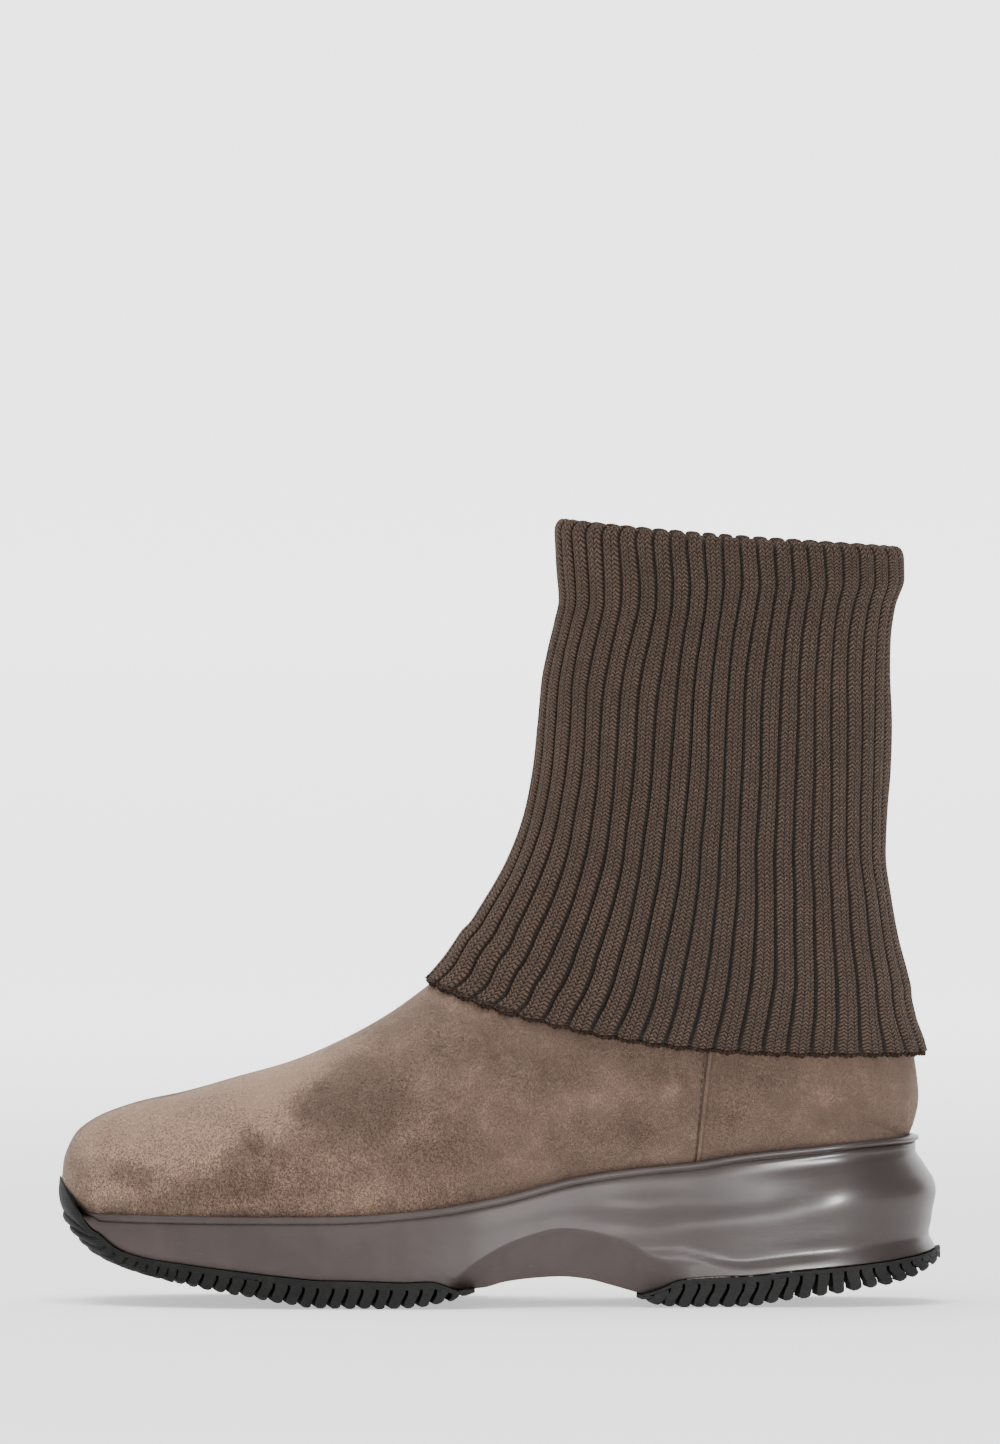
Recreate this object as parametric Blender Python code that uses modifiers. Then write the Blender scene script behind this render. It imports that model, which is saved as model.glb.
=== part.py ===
"""Left boot: suede upper on a moulded cup sole, with a rib-knit shaft turned down over itself.

Metres, +Z up. The toe points to -X and the outer side of the foot to -Y. The origin is on the floor,
midway along the sole. Tables hold shares of the named sizes: a station is a share of the sole's length
from the toe.
"""
import math

import bmesh
import bpy
import numpy as np
from mathutils import Vector
from mathutils.bvhtree import BVHTree

# Sole
SOLE_LENGTH = 0.270
BALL_WIDTH = 0.098
TOE_ROUND = 0.054
HEEL_ROUND = 0.038
END_SQUARENESS = 2.25
FORE_RIM_HEIGHT = 0.028
HEEL_RIM_HEIGHT = 0.0515
RIM_BAND = 0.0028
RIM_LIP = 0.0016
RIM_GROOVE = 0.0005
CUP_DEPTH = 0.0030
ARCH_UNDERCUT = 0.0095
RIM_INSET_FORE = 0.0032
RIM_INSET_SIDE = 0.0050
RIM_INSET_HEEL = 0.0080
RIM_INSET_TOE = 0.0052
# Tread
TREAD_DEPTH = 0.0085
TOE_SPRING = 0.022
HEEL_SPRING = 0.015
ARCH_RISE = 0.009
BUMPER_HEIGHT = 0.0383
BAR_PITCH = 0.0045
BAR_GROOVE = 0.0012
BAR_HEIGHT = 0.0048
BAR_WAVE = 0.0014
BAR_FILLET = 0.0012
BUMPER_SMOOTH = 0.012
ARCH_START = 0.454
ARCH_END = 0.659
# Upper
SUEDE_WALL = 0.0020
INSTEP_HEIGHT = 0.0985
ANKLE_WIDTH = 0.063
COLLAR_BACK_HEIGHT = 0.0975
HEEL_BULGE = 0.0028
HEEL_SQUARE = 0.60
INSOLE_THICKNESS = 0.0035
INSOLE_EASE = 0.0018
# Knit shaft
BOOT_HEIGHT = 0.2395
SHAFT_WIDTH = 0.054
HEM_FRONT_HEIGHT = 0.0996
HEM_BACK_HEIGHT = 0.0774
TOP_DROP = 0.0085
KNIT_WALL = 0.0027
RIB_COUNT = 48
RIB_RELIEF = 0.0012
FOLD_HEIGHT = 0.0040
HEM_SAG = 0.0085
# Fit between neighbours
FIT_GAP = 0.0003
SOLE_GAP = 0.0005
COLLAR_CLEAR = 0.0018

OBJECT_NAME = "knit_shaft_boot"


class Table:
    """Rows of shares with named columns. The first column is where each row lies."""

    def __init__(self, names, rows):
        self.names = names.split()
        self.values = np.array(rows, dtype=float)

    def at(self, name, place):
        """Monotone cubic curve through one column, so that it never overshoots its rows."""
        x = self.values[:, 0]
        y = self.values[:, self.names.index(name)]
        place = min(max(place, x[0]), x[-1])
        step = np.diff(x)
        slope = np.diff(y) / step
        rate = np.zeros(len(x))
        rate[0] = slope[0]
        rate[-1] = slope[-1]
        for i in range(1, len(x) - 1):
            if slope[i - 1] * slope[i] > 0.0:
                before = 2.0 * step[i] + step[i - 1]
                after = step[i] + 2.0 * step[i - 1]
                rate[i] = (before + after) / (before / slope[i - 1] + after / slope[i])
        i = min(max(int(np.searchsorted(x, place)) - 1, 0), len(x) - 2)
        t = (place - x[i]) / step[i]
        keep = (1.0 + 2.0 * t) * (1.0 - t) ** 2
        reach = t * t * (3.0 - 2.0 * t)
        leave = t * (1.0 - t) ** 2 * step[i]
        arrive = t * t * (t - 1.0) * step[i]
        return float(keep * y[i] + reach * y[i + 1] + leave * rate[i] + arrive * rate[i + 1])


# Plan of the sole: half width and sideways swing of the middle line, as shares of the ball's width
PLAN = Table("station half_width swing", (
    (0.00, 0.430, 0.070),
    (0.10, 0.458, 0.055),
    (0.20, 0.486, 0.028),
    (0.30, 0.500, 0.000),
    (0.38, 0.492, -0.022),
    (0.46, 0.458, -0.038),
    (0.55, 0.402, -0.044),
    (0.65, 0.362, -0.036),
    (0.75, 0.355, -0.022),
    (0.87, 0.364, -0.008),
    (1.00, 0.366, 0.000),
))

# Rise of the rim from its height at the ball to its height at the heel
RIM = Table("station rise", (
    (0.00, 0.150),
    (0.022, 0.100),
    (0.04, 0.030),
    (0.07, -0.01),
    (0.20, -0.01),
    (0.31, 0.00),
    (0.41, 0.075),
    (0.50, 0.240),
    (0.59, 0.495),
    (0.665, 0.620),
    (0.72, 0.680),
    (0.775, 0.785),
    (0.85, 0.880),
    (0.92, 0.955),
    (1.00, 1.000),
))

# Underside of the tread ahead of the arch: lift as a share of the toe spring, depth of the tread's depth
TOE_LIFT = Table("station lift depth", (
    (0.0275, 1.160, 0.10),
    (0.030, 1.080, 0.19),
    (0.040, 0.900, 0.35),
    (0.051, 0.740, 0.42),
    (0.066, 0.605, 0.48),
    (0.095, 0.460, 0.58),
    (0.138, 0.330, 0.71),
    (0.174, 0.240, 0.80),
    (0.206, 0.175, 0.85),
    (0.253, 0.070, 0.95),
    (0.305, 0.000, 1.00),
    (0.385, 0.000, 0.93),
    (0.420, 0.040, 0.86),
    (0.454, 0.140, 0.26),
))
# Bare arch between the treads: lift as a share of the arch's rise
ARCH_LIFT = Table("station lift", (
    (0.454, 0.60),
    (0.480, 0.64),
    (0.506, 0.84),
    (0.540, 0.96),
    (0.567, 1.00),
    (0.596, 0.92),
    (0.628, 0.68),
    (0.659, 0.42),
))
# Underside of the tread behind the arch: lift as a share of the heel spring
HEEL_LIFT = Table("station lift depth", (
    (0.659, 0.170, 0.14),
    (0.682, 0.030, 0.62),
    (0.706, 0.000, 0.98),
    (0.765, 0.000, 1.08),
    (0.832, 0.150, 1.00),
    (0.905, 0.340, 0.88),
    (0.955, 0.510, 0.78),
    (0.984, 0.740, 0.54),
    (1.000, 0.960, 0.36),
))
# Toe bumper, by fan section. edge is the station of a section's ends, ahead the share of that length by
# which its middle lies forward, up how far its middle climbs to the bumper's height, lean turns its
# depth from straight down (0) to straight forward (1)
BUMPER = Table("fan edge ahead up lean depth", (
    (0.00, 0.0275, 0.946, 1.000, 1.00, 0.10),
    (0.14, 0.0300, 1.000, 0.670, 0.97, 0.19),
    (0.28, 0.0340, 0.900, 0.337, 0.86, 0.27),
    (0.42, 0.0400, 0.780, 0.205, 0.66, 0.35),
    (0.56, 0.0510, 0.600, 0.164, 0.48, 0.42),
    (0.70, 0.0730, 0.442, 0.110, 0.30, 0.50),
    (0.85, 0.1050, 0.225, 0.055, 0.15, 0.60),
    (1.00, 0.1380, 0.000, 0.000, 0.06, 0.71),
))
# Side wall of the midsole below its rim band: inset from the plan as a share of the rim's inset
WALL = Table("height fore heel", (
    (0.00, 0.32, 0.25),
    (0.14, 0.26, 0.41),
    (0.30, 0.32, 0.39),
    (0.50, 0.46, 0.31),
    (0.66, 0.62, 0.43),
    (0.82, 0.80, 0.72),
    (1.00, 0.95, 0.93),
))
# Hollow in the side of the arch: height of its crease as a share of the side wall
SCOOP = Table("station crease", (
    (0.440, 0.02),
    (0.456, 0.16),
    (0.487, 0.36),
    (0.526, 0.47),
    (0.560, 0.50),
    (0.590, 0.46),
    (0.620, 0.42),
    (0.645, 0.36),
    (0.672, 0.26),
    (0.700, 0.10),
    (0.720, 0.02),
))
# Sections of the upper, fanned about the foot. seat is the station of a section's ends on the cup, climb
# how far its back end has risen up the heel, ahead and up place its top on the ridge, ball and ankle
# give its half width, square rounds it (1) or fills its corners (less), droop is a share of the hem's sag
UPPER = Table("row seat climb ahead up ball ankle square droop", (
    (0, 0.000, 0.00, 0.0218, -0.010, 0.000, 0.000, 0.80, 0.00),
    (1, 0.003, 0.00, 0.0150, 0.062, 0.070, 0.000, 0.78, 0.00),
    (2, 0.012, 0.00, 0.0095, 0.116, 0.150, 0.000, 0.76, 0.00),
    (3, 0.030, 0.00, 0.0067, 0.206, 0.215, 0.000, 0.74, 0.00),
    (4, 0.052, 0.00, 0.0170, 0.318, 0.275, 0.000, 0.74, 0.00),
    (5, 0.085, 0.00, 0.0407, 0.396, 0.336, 0.000, 0.76, 0.00),
    (6, 0.130, 0.00, 0.0889, 0.467, 0.398, 0.000, 0.78, 0.00),
    (7, 0.190, 0.00, 0.1481, 0.519, 0.444, 0.000, 0.80, 0.00),
    (8, 0.260, 0.00, 0.2074, 0.584, 0.462, 0.000, 0.83, 0.00),
    (9, 0.345, 0.00, 0.2667, 0.651, 0.458, 0.000, 0.87, 0.00),
    (10, 0.450, 0.00, 0.3259, 0.750, 0.300, 0.192, 0.90, 0.00),
    (11, 0.550, 0.00, 0.3741, 0.854, 0.150, 0.362, 0.92, 0.00),
    (12, 0.660, 0.00, 0.4096, 0.952, 0.050, 0.472, 0.93, 0.05),
    (13, 0.770, 0.00, 0.4333, 1.024, 0.000, 0.526, 0.92, 0.15),
    (14, 0.870, 0.00, 0.4500, 1.089, 0.000, 0.515, 0.91, 0.30),
    (15, 0.950, 0.00, 0.4630, 1.157, 0.000, 0.507, 0.90, 0.45),
    (16, 1.000, 0.00, 0.4722, 1.210, 0.000, 0.500, 0.89, 0.60),
    (17, 1.000, 0.25, 0.4770, 1.241, 0.000, 0.495, 0.88, 0.70),
    (18, 1.000, 0.50, 0.4807, 1.267, 0.000, 0.491, 0.87, 0.78),
    (19, 1.000, 0.75, 0.4837, 1.288, 0.000, 0.486, 0.86, 0.85),
    (20, 1.000, 1.00, 0.4859, 1.305, 0.000, 0.480, 0.85, 0.90),
))
# Back of the heel: out is a share of the heel's bulge, rise of the way up to the collar
BACK = Table("climb out rise", (
    (0.00, 0.00, 0.00),
    (0.08, 0.50, 0.08),
    (0.25, 1.00, 0.24),
    (0.50, 0.55, 0.50),
    (0.75, -0.32, 0.755),
    (1.00, -1.30, 1.00),
))
# Outside of the knit shaft from hem to fold. front and back are stations, the rises are shares of the
# way from hem to fold, half is a share of the shaft's width and droop of the hem's sag
SHAFT = Table("rise front front_rise back back_rise half droop", (
    (0.000, 0.4219, 0.000, 0.9785, 0.000, 0.660, 1.00),
    (0.070, 0.4526, 0.079, 0.9711, 0.068, 0.656, 0.96),
    (0.155, 0.4830, 0.169, 0.9600, 0.150, 0.645, 0.88),
    (0.240, 0.5078, 0.259, 0.9493, 0.231, 0.624, 0.76),
    (0.325, 0.5248, 0.349, 0.9430, 0.312, 0.600, 0.65),
    (0.400, 0.5330, 0.415, 0.9375, 0.398, 0.578, 0.54),
    (0.475, 0.5385, 0.489, 0.9389, 0.485, 0.557, 0.44),
    (0.560, 0.5415, 0.573, 0.9415, 0.572, 0.538, 0.35),
    (0.650, 0.5452, 0.664, 0.9422, 0.666, 0.526, 0.26),
    (0.730, 0.5526, 0.732, 0.9411, 0.753, 0.511, 0.19),
    (0.810, 0.5615, 0.798, 0.9426, 0.833, 0.500, 0.14),
    (0.870, 0.5667, 0.849, 0.9481, 0.903, 0.496, 0.12),
    (0.930, 0.5637, 0.915, 0.9578, 0.957, 0.500, 0.12),
    (1.000, 0.5610, 1.000, 0.9570, 1.000, 0.504, 0.12),
))
COLLAR_RISE = 0.142
COLLAR_EASE = 0.010
SHAFT_SQUARE = 0.86
SAG_SKEW = 0.8
SUEDE_REACH = 0.012
HEM_EGG = 0.10

# Resolution
PLAN_STEPS = 28
UPPER_ARC_STEPS = 16
UPPER_CLIMBS = (0.25, 0.5, 0.75, 1.0)
OUTER_RISES = (0.0, 0.08, 0.18, 0.30, 0.43, 0.57, 0.71, 0.82, 0.91, 1.0)
INNER_RISES = (0.93, 0.78, 0.55, 0.33)


def blend(low, high, value):
    """Smooth step from 0 at low to 1 at high."""
    t = min(max((value - low) / (high - low), 0.0), 1.0)
    return t * t * (3.0 - 2.0 * t)


def mix(first, second, share):
    return first + (second - first) * share


def power(value, exponent):
    return math.copysign(abs(value) ** exponent, value)


def along(station):
    """World X of a station."""
    return (station - 0.5) * SOLE_LENGTH


def end_round(station):
    """Rounded ends of the plan: 0 at the tips, 1 past the end's rounding."""
    toe = min(station * SOLE_LENGTH / TOE_ROUND, 1.0)
    heel = min((1.0 - station) * SOLE_LENGTH / HEEL_ROUND, 1.0)
    toe_part = (1.0 - (1.0 - toe) ** END_SQUARENESS) ** (1.0 / END_SQUARENESS)
    heel_part = (1.0 - (1.0 - heel) ** END_SQUARENESS) ** (1.0 / END_SQUARENESS)
    return toe_part * heel_part


def swing(x):
    """Sideways place of the foot's middle line at a world X."""
    return PLAN.at("swing", x / SOLE_LENGTH + 0.5) * BALL_WIDTH


def half_plan(station):
    return PLAN.at("half_width", station) * BALL_WIDTH * end_round(station)


def turn_of(station):
    """Turns run 0 to 1 from toe to heel and lie close together at both ends."""
    return math.acos(1.0 - 2.0 * min(max(station, 0.0), 1.0)) / math.pi


def station_of(turn):
    return 0.5 - 0.5 * math.cos(math.pi * turn)


def plan_point(turn, side):
    station = station_of(turn)
    x = along(station)
    return np.array((x, swing(x) + side * half_plan(station)))


def inset_point(turn, side, inset):
    """Point of the plan moved inwards, square to the plan's edge."""
    near = 1e-3
    run = plan_point(min(turn + near, 1.0), side) - plan_point(max(turn - near, 0.0), side)
    run /= np.linalg.norm(run)
    inward = np.array((side * run[1], -side * run[0]))
    if turn <= 0.0:
        inward = np.array((1.0, 0.0))
    if turn >= 1.0:
        inward = np.array((-1.0, 0.0))
    return plan_point(turn, side) + inward * inset


def rim_height(station):
    return mix(FORE_RIM_HEIGHT, HEEL_RIM_HEIGHT, RIM.at("rise", station))


def fore_bottom(station):
    """Height over the floor of the forefoot bars' ends."""
    return TOE_LIFT.at("lift", station) * TOE_SPRING


def heel_bottom(station):
    return HEEL_LIFT.at("lift", station) * HEEL_SPRING


def sole_face(station):
    """Height of the face between tread and midsole, and of the bare arch between the treads."""
    if station <= ARCH_START:
        return fore_bottom(station) + TOE_LIFT.at("depth", station) * TREAD_DEPTH
    if station >= ARCH_END:
        return heel_bottom(station) + HEEL_LIFT.at("depth", station) * TREAD_DEPTH
    return ARCH_LIFT.at("lift", station) * ARCH_RISE


def heel_share(station):
    """0 along the forefoot and 1 round the heel."""
    return blend(0.45, 0.82, station)


def rim_inset(station):
    """Inset of the rim's outer edge from the plan."""
    inset = mix(RIM_INSET_FORE, RIM_INSET_SIDE, heel_share(station))
    inset = mix(inset, RIM_INSET_HEEL, blend(0.88, 1.0, station))
    return mix(RIM_INSET_TOE, inset, blend(0.0, 0.035, station))


def seat_inset(station):
    """Inset of the suede where it stands inside the rim's lip."""
    return rim_inset(station) + RIM_LIP + FIT_GAP


def bumper_section(fan):
    """Outer edge, outer middle, lean and depth of one fan section of the toe bumper."""
    edge = BUMPER.at("edge", fan)
    low = fore_bottom(edge)
    middle = along(edge * (1.0 - BUMPER.at("ahead", fan)))
    high = mix(low, BUMPER_HEIGHT, BUMPER.at("up", fan))
    lean = BUMPER.at("lean", fan) * math.pi / 2.0
    return edge, low, middle, high, lean, BUMPER.at("depth", fan) * TREAD_DEPTH


def bumper_edge():
    """Places (x, z) along the bumper's upper edge, where the midsole stands on it."""
    edges = []
    for fan in np.linspace(0.0, 1.0, 41):
        edge, low, middle, high, lean, depth = bumper_section(fan)
        reach = math.sin(lean) * depth
        fall = math.cos(lean) * depth
        edges.append((along(edge) + reach, low + fall))
    return np.array(edges)


BOND_EDGES = bumper_edge()


def bond_edge(station):
    """Height of the midsole's lower edge over the tread, or of the bare arch."""
    x = along(station)
    if x < BOND_EDGES[-1, 0]:
        return float(np.interp(x, BOND_EDGES[:, 0], BOND_EDGES[:, 1]))
    return sole_face(station)


def bond_chord(station):
    """Lower edge of the midsole as its straight-sided solid has it, between its own columns."""
    return float(np.interp(station, CHORD_STATIONS, CHORD_HEIGHTS))


CHORD_STATIONS = [station_of(i / PLAN_STEPS) for i in range(PLAN_STEPS + 1)]
CHORD_HEIGHTS = [bond_edge(station) for station in CHORD_STATIONS]


def upper_rows():
    """Rows of the upper that are built: one at each column of the midsole, then up the heel."""
    rows = UPPER.values[:, 0]
    fine = np.linspace(rows[0], rows[-1], 2001)
    seats = np.array([UPPER.at("seat", row) for row in fine])
    climbs = np.array([UPPER.at("climb", row) for row in fine])
    on_cup = climbs <= 0.0
    built = [float(np.interp(station, seats[on_cup], fine[on_cup])) for station in CHORD_STATIONS]
    return built + [float(np.interp(climb, climbs, fine)) for climb in UPPER_CLIMBS]


def closed_mesh(name, points, faces, material):
    """Object from hand-lofted faces, welded, turned outwards and triangulated."""
    mesh = bmesh.new()
    corners = [mesh.verts.new(point) for point in points]
    for face in faces:
        ring = [corners[i] for i in face]
        if len(set(ring)) > 2:
            mesh.faces.new(ring)
    bmesh.ops.remove_doubles(mesh, verts=mesh.verts, dist=1e-6)
    bmesh.ops.recalc_face_normals(mesh, faces=mesh.faces)
    bmesh.ops.triangulate(mesh, faces=mesh.faces)
    data = bpy.data.meshes.new(name)
    mesh.to_mesh(data)
    mesh.free()
    data.materials.append(material)
    piece = bpy.data.objects.new(name, data)
    bpy.data.collections[OBJECT_NAME].objects.link(piece)
    return piece


def ring_faces(rings, size):
    """Quads between each ring of points and the next."""
    faces = []
    for ring in range(rings - 1):
        for i in range(size):
            j = (i + 1) % size
            low = ring * size
            high = low + size
            faces.append((low + i, low + j, high + j, high + i))
    return faces


def plan_cap(start, steps):
    """Strips across a loop that runs toe tip, outer side, heel tip, inner side."""
    size = 2 * steps
    faces = [(start, start + 1, start + size - 1)]
    for i in range(1, steps - 1):
        faces.append((start + i, start + i + 1, start + size - i - 1, start + size - i))
    faces.append((start + steps - 1, start + steps, start + steps + 1))
    return faces


def plan_loop(steps, place):
    """Loop of points round the plan: place(turn, side) gives each."""
    turns = [i / steps for i in range(steps + 1)]
    loop = [place(turn, -1.0) for turn in turns]
    loop += [place(turn, 1.0) for turn in reversed(turns[1:-1])]
    return loop


def make_material(name, color, roughness, coat=0.0):
    material = bpy.data.materials.new(name)
    material.use_nodes = True
    shader = material.node_tree.nodes["Principled BSDF"]
    shader.inputs["Base Color"].default_value = (*color, 1.0)
    shader.inputs["Roughness"].default_value = roughness
    shader.inputs["Metallic"].default_value = 0.0
    shader.inputs["Coat Weight"].default_value = coat
    return material


def wall_inset(station, height):
    """Inset of the midsole's side wall at a share of the way up to its rim band."""
    share = mix(WALL.at("fore", height), WALL.at("heel", height), heel_share(station))
    crease = SCOOP.at("crease", station)
    hollow = blend(0.02, 0.30, crease) * max(1.0 - height / max(crease, 0.02), 0.0) ** 1.25
    return share * rim_inset(station) + hollow * ARCH_UNDERCUT


def wall_levels(station):
    """Shares of the side wall that carry its levels: they follow the arch's crease."""
    crease = max(SCOOP.at("crease", station), 0.16)
    above = [mix(crease, 1.0, share) for share in (0.0, 0.22, 0.44, 0.64, 0.84)]
    return [0.0, 0.5 * crease] + above


def midsole_columns():
    """Levels of the midsole from its lower edge up the side, over the lip and down into the cup."""
    def side_low(x):
        return bond_chord(x / SOLE_LENGTH + 0.5) + SOLE_GAP

    def band(x, station):
        return min(RIM_BAND, 0.6 * (rim_height(station) - side_low(x)))

    def wall_point(level):
        def place(turn, side):
            station = station_of(turn)
            height = wall_levels(station)[level]
            inset = mix(RIM_INSET_TOE, wall_inset(station, height), blend(0.0, 0.035, station))
            x, y = inset_point(turn, side, inset)
            top = rim_height(station) - band(x, station)
            return (x, y, mix(side_low(x), top, height))
        return place

    def rim_point(inset, drop):
        def place(turn, side):
            station = station_of(turn)
            x, y = inset_point(turn, side, rim_inset(station) + inset)
            return (x, y, rim_height(station) - drop * band(x, station))
        return place

    def cup_floor(turn, side):
        station = station_of(turn)
        x, y = inset_point(turn, side, rim_inset(station) + RIM_LIP)
        return (x, y, rim_height(station) - CUP_DEPTH)

    makers = [wall_point(level) for level in range(len(wall_levels(0.5)))]
    makers.append(rim_point(RIM_GROOVE, 1.0))
    makers.append(rim_point(-RIM_GROOVE, 0.72))
    makers.append(rim_point(-0.5 * RIM_GROOVE, 0.25))
    makers.append(rim_point(RIM_GROOVE, 0.0))
    makers.append(rim_point(RIM_LIP, 0.0))
    makers.append(cup_floor)
    return makers


def build_midsole(material):
    """Cup midsole: outer side, rim, cup for the upper, and an underside that follows the treads."""
    makers = midsole_columns()
    size = 2 * PLAN_STEPS
    points = []
    for maker in makers:
        points += plan_loop(PLAN_STEPS, maker)
    faces = ring_faces(len(makers), size)
    faces += plan_cap((len(makers) - 1) * size, PLAN_STEPS)
    faces += plan_cap(0, PLAN_STEPS)
    return closed_mesh("midsole", points, faces, material)


def build_insole(material):
    """Thin pad on the cup's floor, inside the upper's wall."""
    def level(drop):
        def place(turn, side):
            station = station_of(turn)
            ease = INSOLE_EASE * (1.0 + blend(0.9, 1.0, station))
            x, y = inset_point(turn, side, seat_inset(station) + SUEDE_WALL + ease)
            return (x, y, rim_height(station) - CUP_DEPTH + drop)
        return place
    points = plan_loop(PLAN_STEPS, level(FIT_GAP)) + plan_loop(PLAN_STEPS, level(INSOLE_THICKNESS))
    faces = ring_faces(2, 2 * PLAN_STEPS) + plan_cap(0, PLAN_STEPS) + plan_cap(2 * PLAN_STEPS, PLAN_STEPS)
    return closed_mesh("insole", points, faces, material)


ACROSS = (-1.0, -0.86, -0.42, 0.0, 0.42, 0.86, 1.0)
FORE_BOND_ACROSS = (0.82, 0.42, 0.0, -0.42, -0.82)
HEEL_BOND_ACROSS = (0.0,)


def tread_ring(edge, low, middle, high, lean, depth, cut, wave, bond_across):
    """Ring of one tread section: outer face from side to side, then back along the bond face.

    cut is how deep a groove eats into the section and wave how far its bars sway along the sole.
    """
    half = half_plan(edge)
    x_edge = along(edge)
    nose = max(x_edge + SOLE_LENGTH / 2.0, 1e-6)
    forward = math.sin(lean)
    down = math.cos(lean)

    def ahead(t):
        """How far back from the middle a point lies, as a share of the way to the edge."""
        share = abs(t) * end_round(edge)
        back = TOE_ROUND * (1.0 - (1.0 - min(share, 1.0) ** END_SQUARENESS) ** (1.0 / END_SQUARENESS))
        return min(back / nose, 1.0) if x_edge < along(TOE_ROUND / SOLE_LENGTH) else abs(t) ** 2

    ring = []
    for t in ACROSS:
        share = ahead(t)
        x = mix(middle, x_edge, share)
        z = mix(high, low, share)
        rise = cut
        if abs(t) == 1.0:
            rise = cut + min(BAR_FILLET, 0.3 * depth)
        side = 1.0 - (0.6 * cut / max(half, 0.004) if abs(t) == 1.0 else 0.0)
        sway = wave * (math.cos(2.0 * math.pi * t) - 1.0) / 2.0
        x_here = x + forward * rise + sway
        ring.append((x_here, swing(x_here) + t * half * side, z + down * rise))
    for end in (1.0, -1.0):
        x = x_edge + forward * depth
        wide = half_plan(x / SOLE_LENGTH + 0.5)
        ring.append((x, swing(x) + end * wide, low + down * depth))
        if end > 0.0:
            for t in bond_across:
                share = ahead(t)
                x = mix(middle, x_edge, share) + forward * depth
                z = mix(high, low, share) + down * depth
                y = swing(x) + t * half * (1.0 - 0.3 * forward * depth / max(half, 0.004))
                ring.append((x, y, z))
    return ring


def bar_edges(length, start):
    """Places along a run of tread where bars and grooves begin and end, with whether each is cut."""
    land = BAR_PITCH - BAR_GROOVE
    places = [(0.0, False)]
    if start > 0.0:
        places.append((start, False))
    place = start if start > 0.0 else land
    while place + BAR_PITCH < length:
        places += [(place + 0.5 * BAR_GROOVE, True), (place + BAR_GROOVE, False)]
        place += BAR_PITCH
        places.append((place, False))
    places.append((length, False))
    return places


def loft(name, rings, material):
    """Closed body through rings of equal size, with a flat face at each end."""
    size = len(rings[0])
    points = [point for ring in rings for point in ring]
    faces = ring_faces(len(rings), size)
    faces.append(tuple(range(size)))
    faces.append(tuple(range(len(points) - size, len(points))))
    return closed_mesh(name, points, faces, material)


def groove_cut(depth, cut):
    return min(BAR_HEIGHT, max(depth - 0.0015, 0.0) * 0.75) if cut else 0.0


def build_forefoot_tread(material):
    """Forefoot tread: cross bars under the ball, and a bumper that climbs the toe."""
    fans = np.linspace(0.0, 1.0, 101)
    sections = [bumper_section(fan) for fan in fans]
    walk = [0.0]
    for before, after in zip(sections[:-1], sections[1:]):
        walk.append(walk[-1] + math.hypot(after[2] - before[2], after[3] - before[3]))
    fan_length = walk[-1]
    flat_start = BUMPER.values[-1, 1]
    length = fan_length + (ARCH_START - flat_start) * SOLE_LENGTH
    rings = []
    for place, cut in bar_edges(length, BUMPER_SMOOTH):
        if place < fan_length:
            fan = float(np.interp(place, walk, fans))
            section = bumper_section(fan)
            wave = BAR_WAVE * fan ** 2
        else:
            station = flat_start + (place - fan_length) / SOLE_LENGTH
            low = fore_bottom(station)
            lean = 0.06 * math.pi / 2.0 * (1.0 - blend(flat_start, flat_start + 0.05, station))
            section = (station, low, along(station), low, lean, bond_chord(station) - low)
            wave = BAR_WAVE
        rings.append(tread_ring(*section, groove_cut(section[5], cut), wave, FORE_BOND_ACROSS))
    return loft("outsole_forefoot", rings, material)


def build_heel_tread(material):
    """Heel tread: cross bars from the arch to the back of the heel, where it turns up."""
    length = (1.0 - ARCH_END) * SOLE_LENGTH - 0.0006
    rings = []
    for place, cut in bar_edges(length, 0.0):
        station = ARCH_END + place / SOLE_LENGTH
        low = heel_bottom(station)
        depth = bond_chord(station) - low
        wave = BAR_WAVE * (1.0 - blend(0.95, 0.99, station))
        section = (station, low, along(station), low, 0.0, depth)
        rings.append(tread_ring(*section, groove_cut(depth, cut), wave, HEEL_BOND_ACROSS))
    return loft("outsole_heel", rings, material)


def heel_back(climb):
    """Place (x, z) up the back of the heel, from the rim to the collar."""
    x = along(1.0) - seat_inset(1.0)
    collar = along(SHAFT.at("back", COLLAR_RISE)) - KNIT_WALL - 2.0 * FIT_GAP
    x = mix(x + BACK.at("out", climb) * HEEL_BULGE, collar, blend(0.55, 1.0, climb))
    return x, mix(rim_height(1.0), COLLAR_BACK_HEIGHT, BACK.at("rise", climb))


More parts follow.
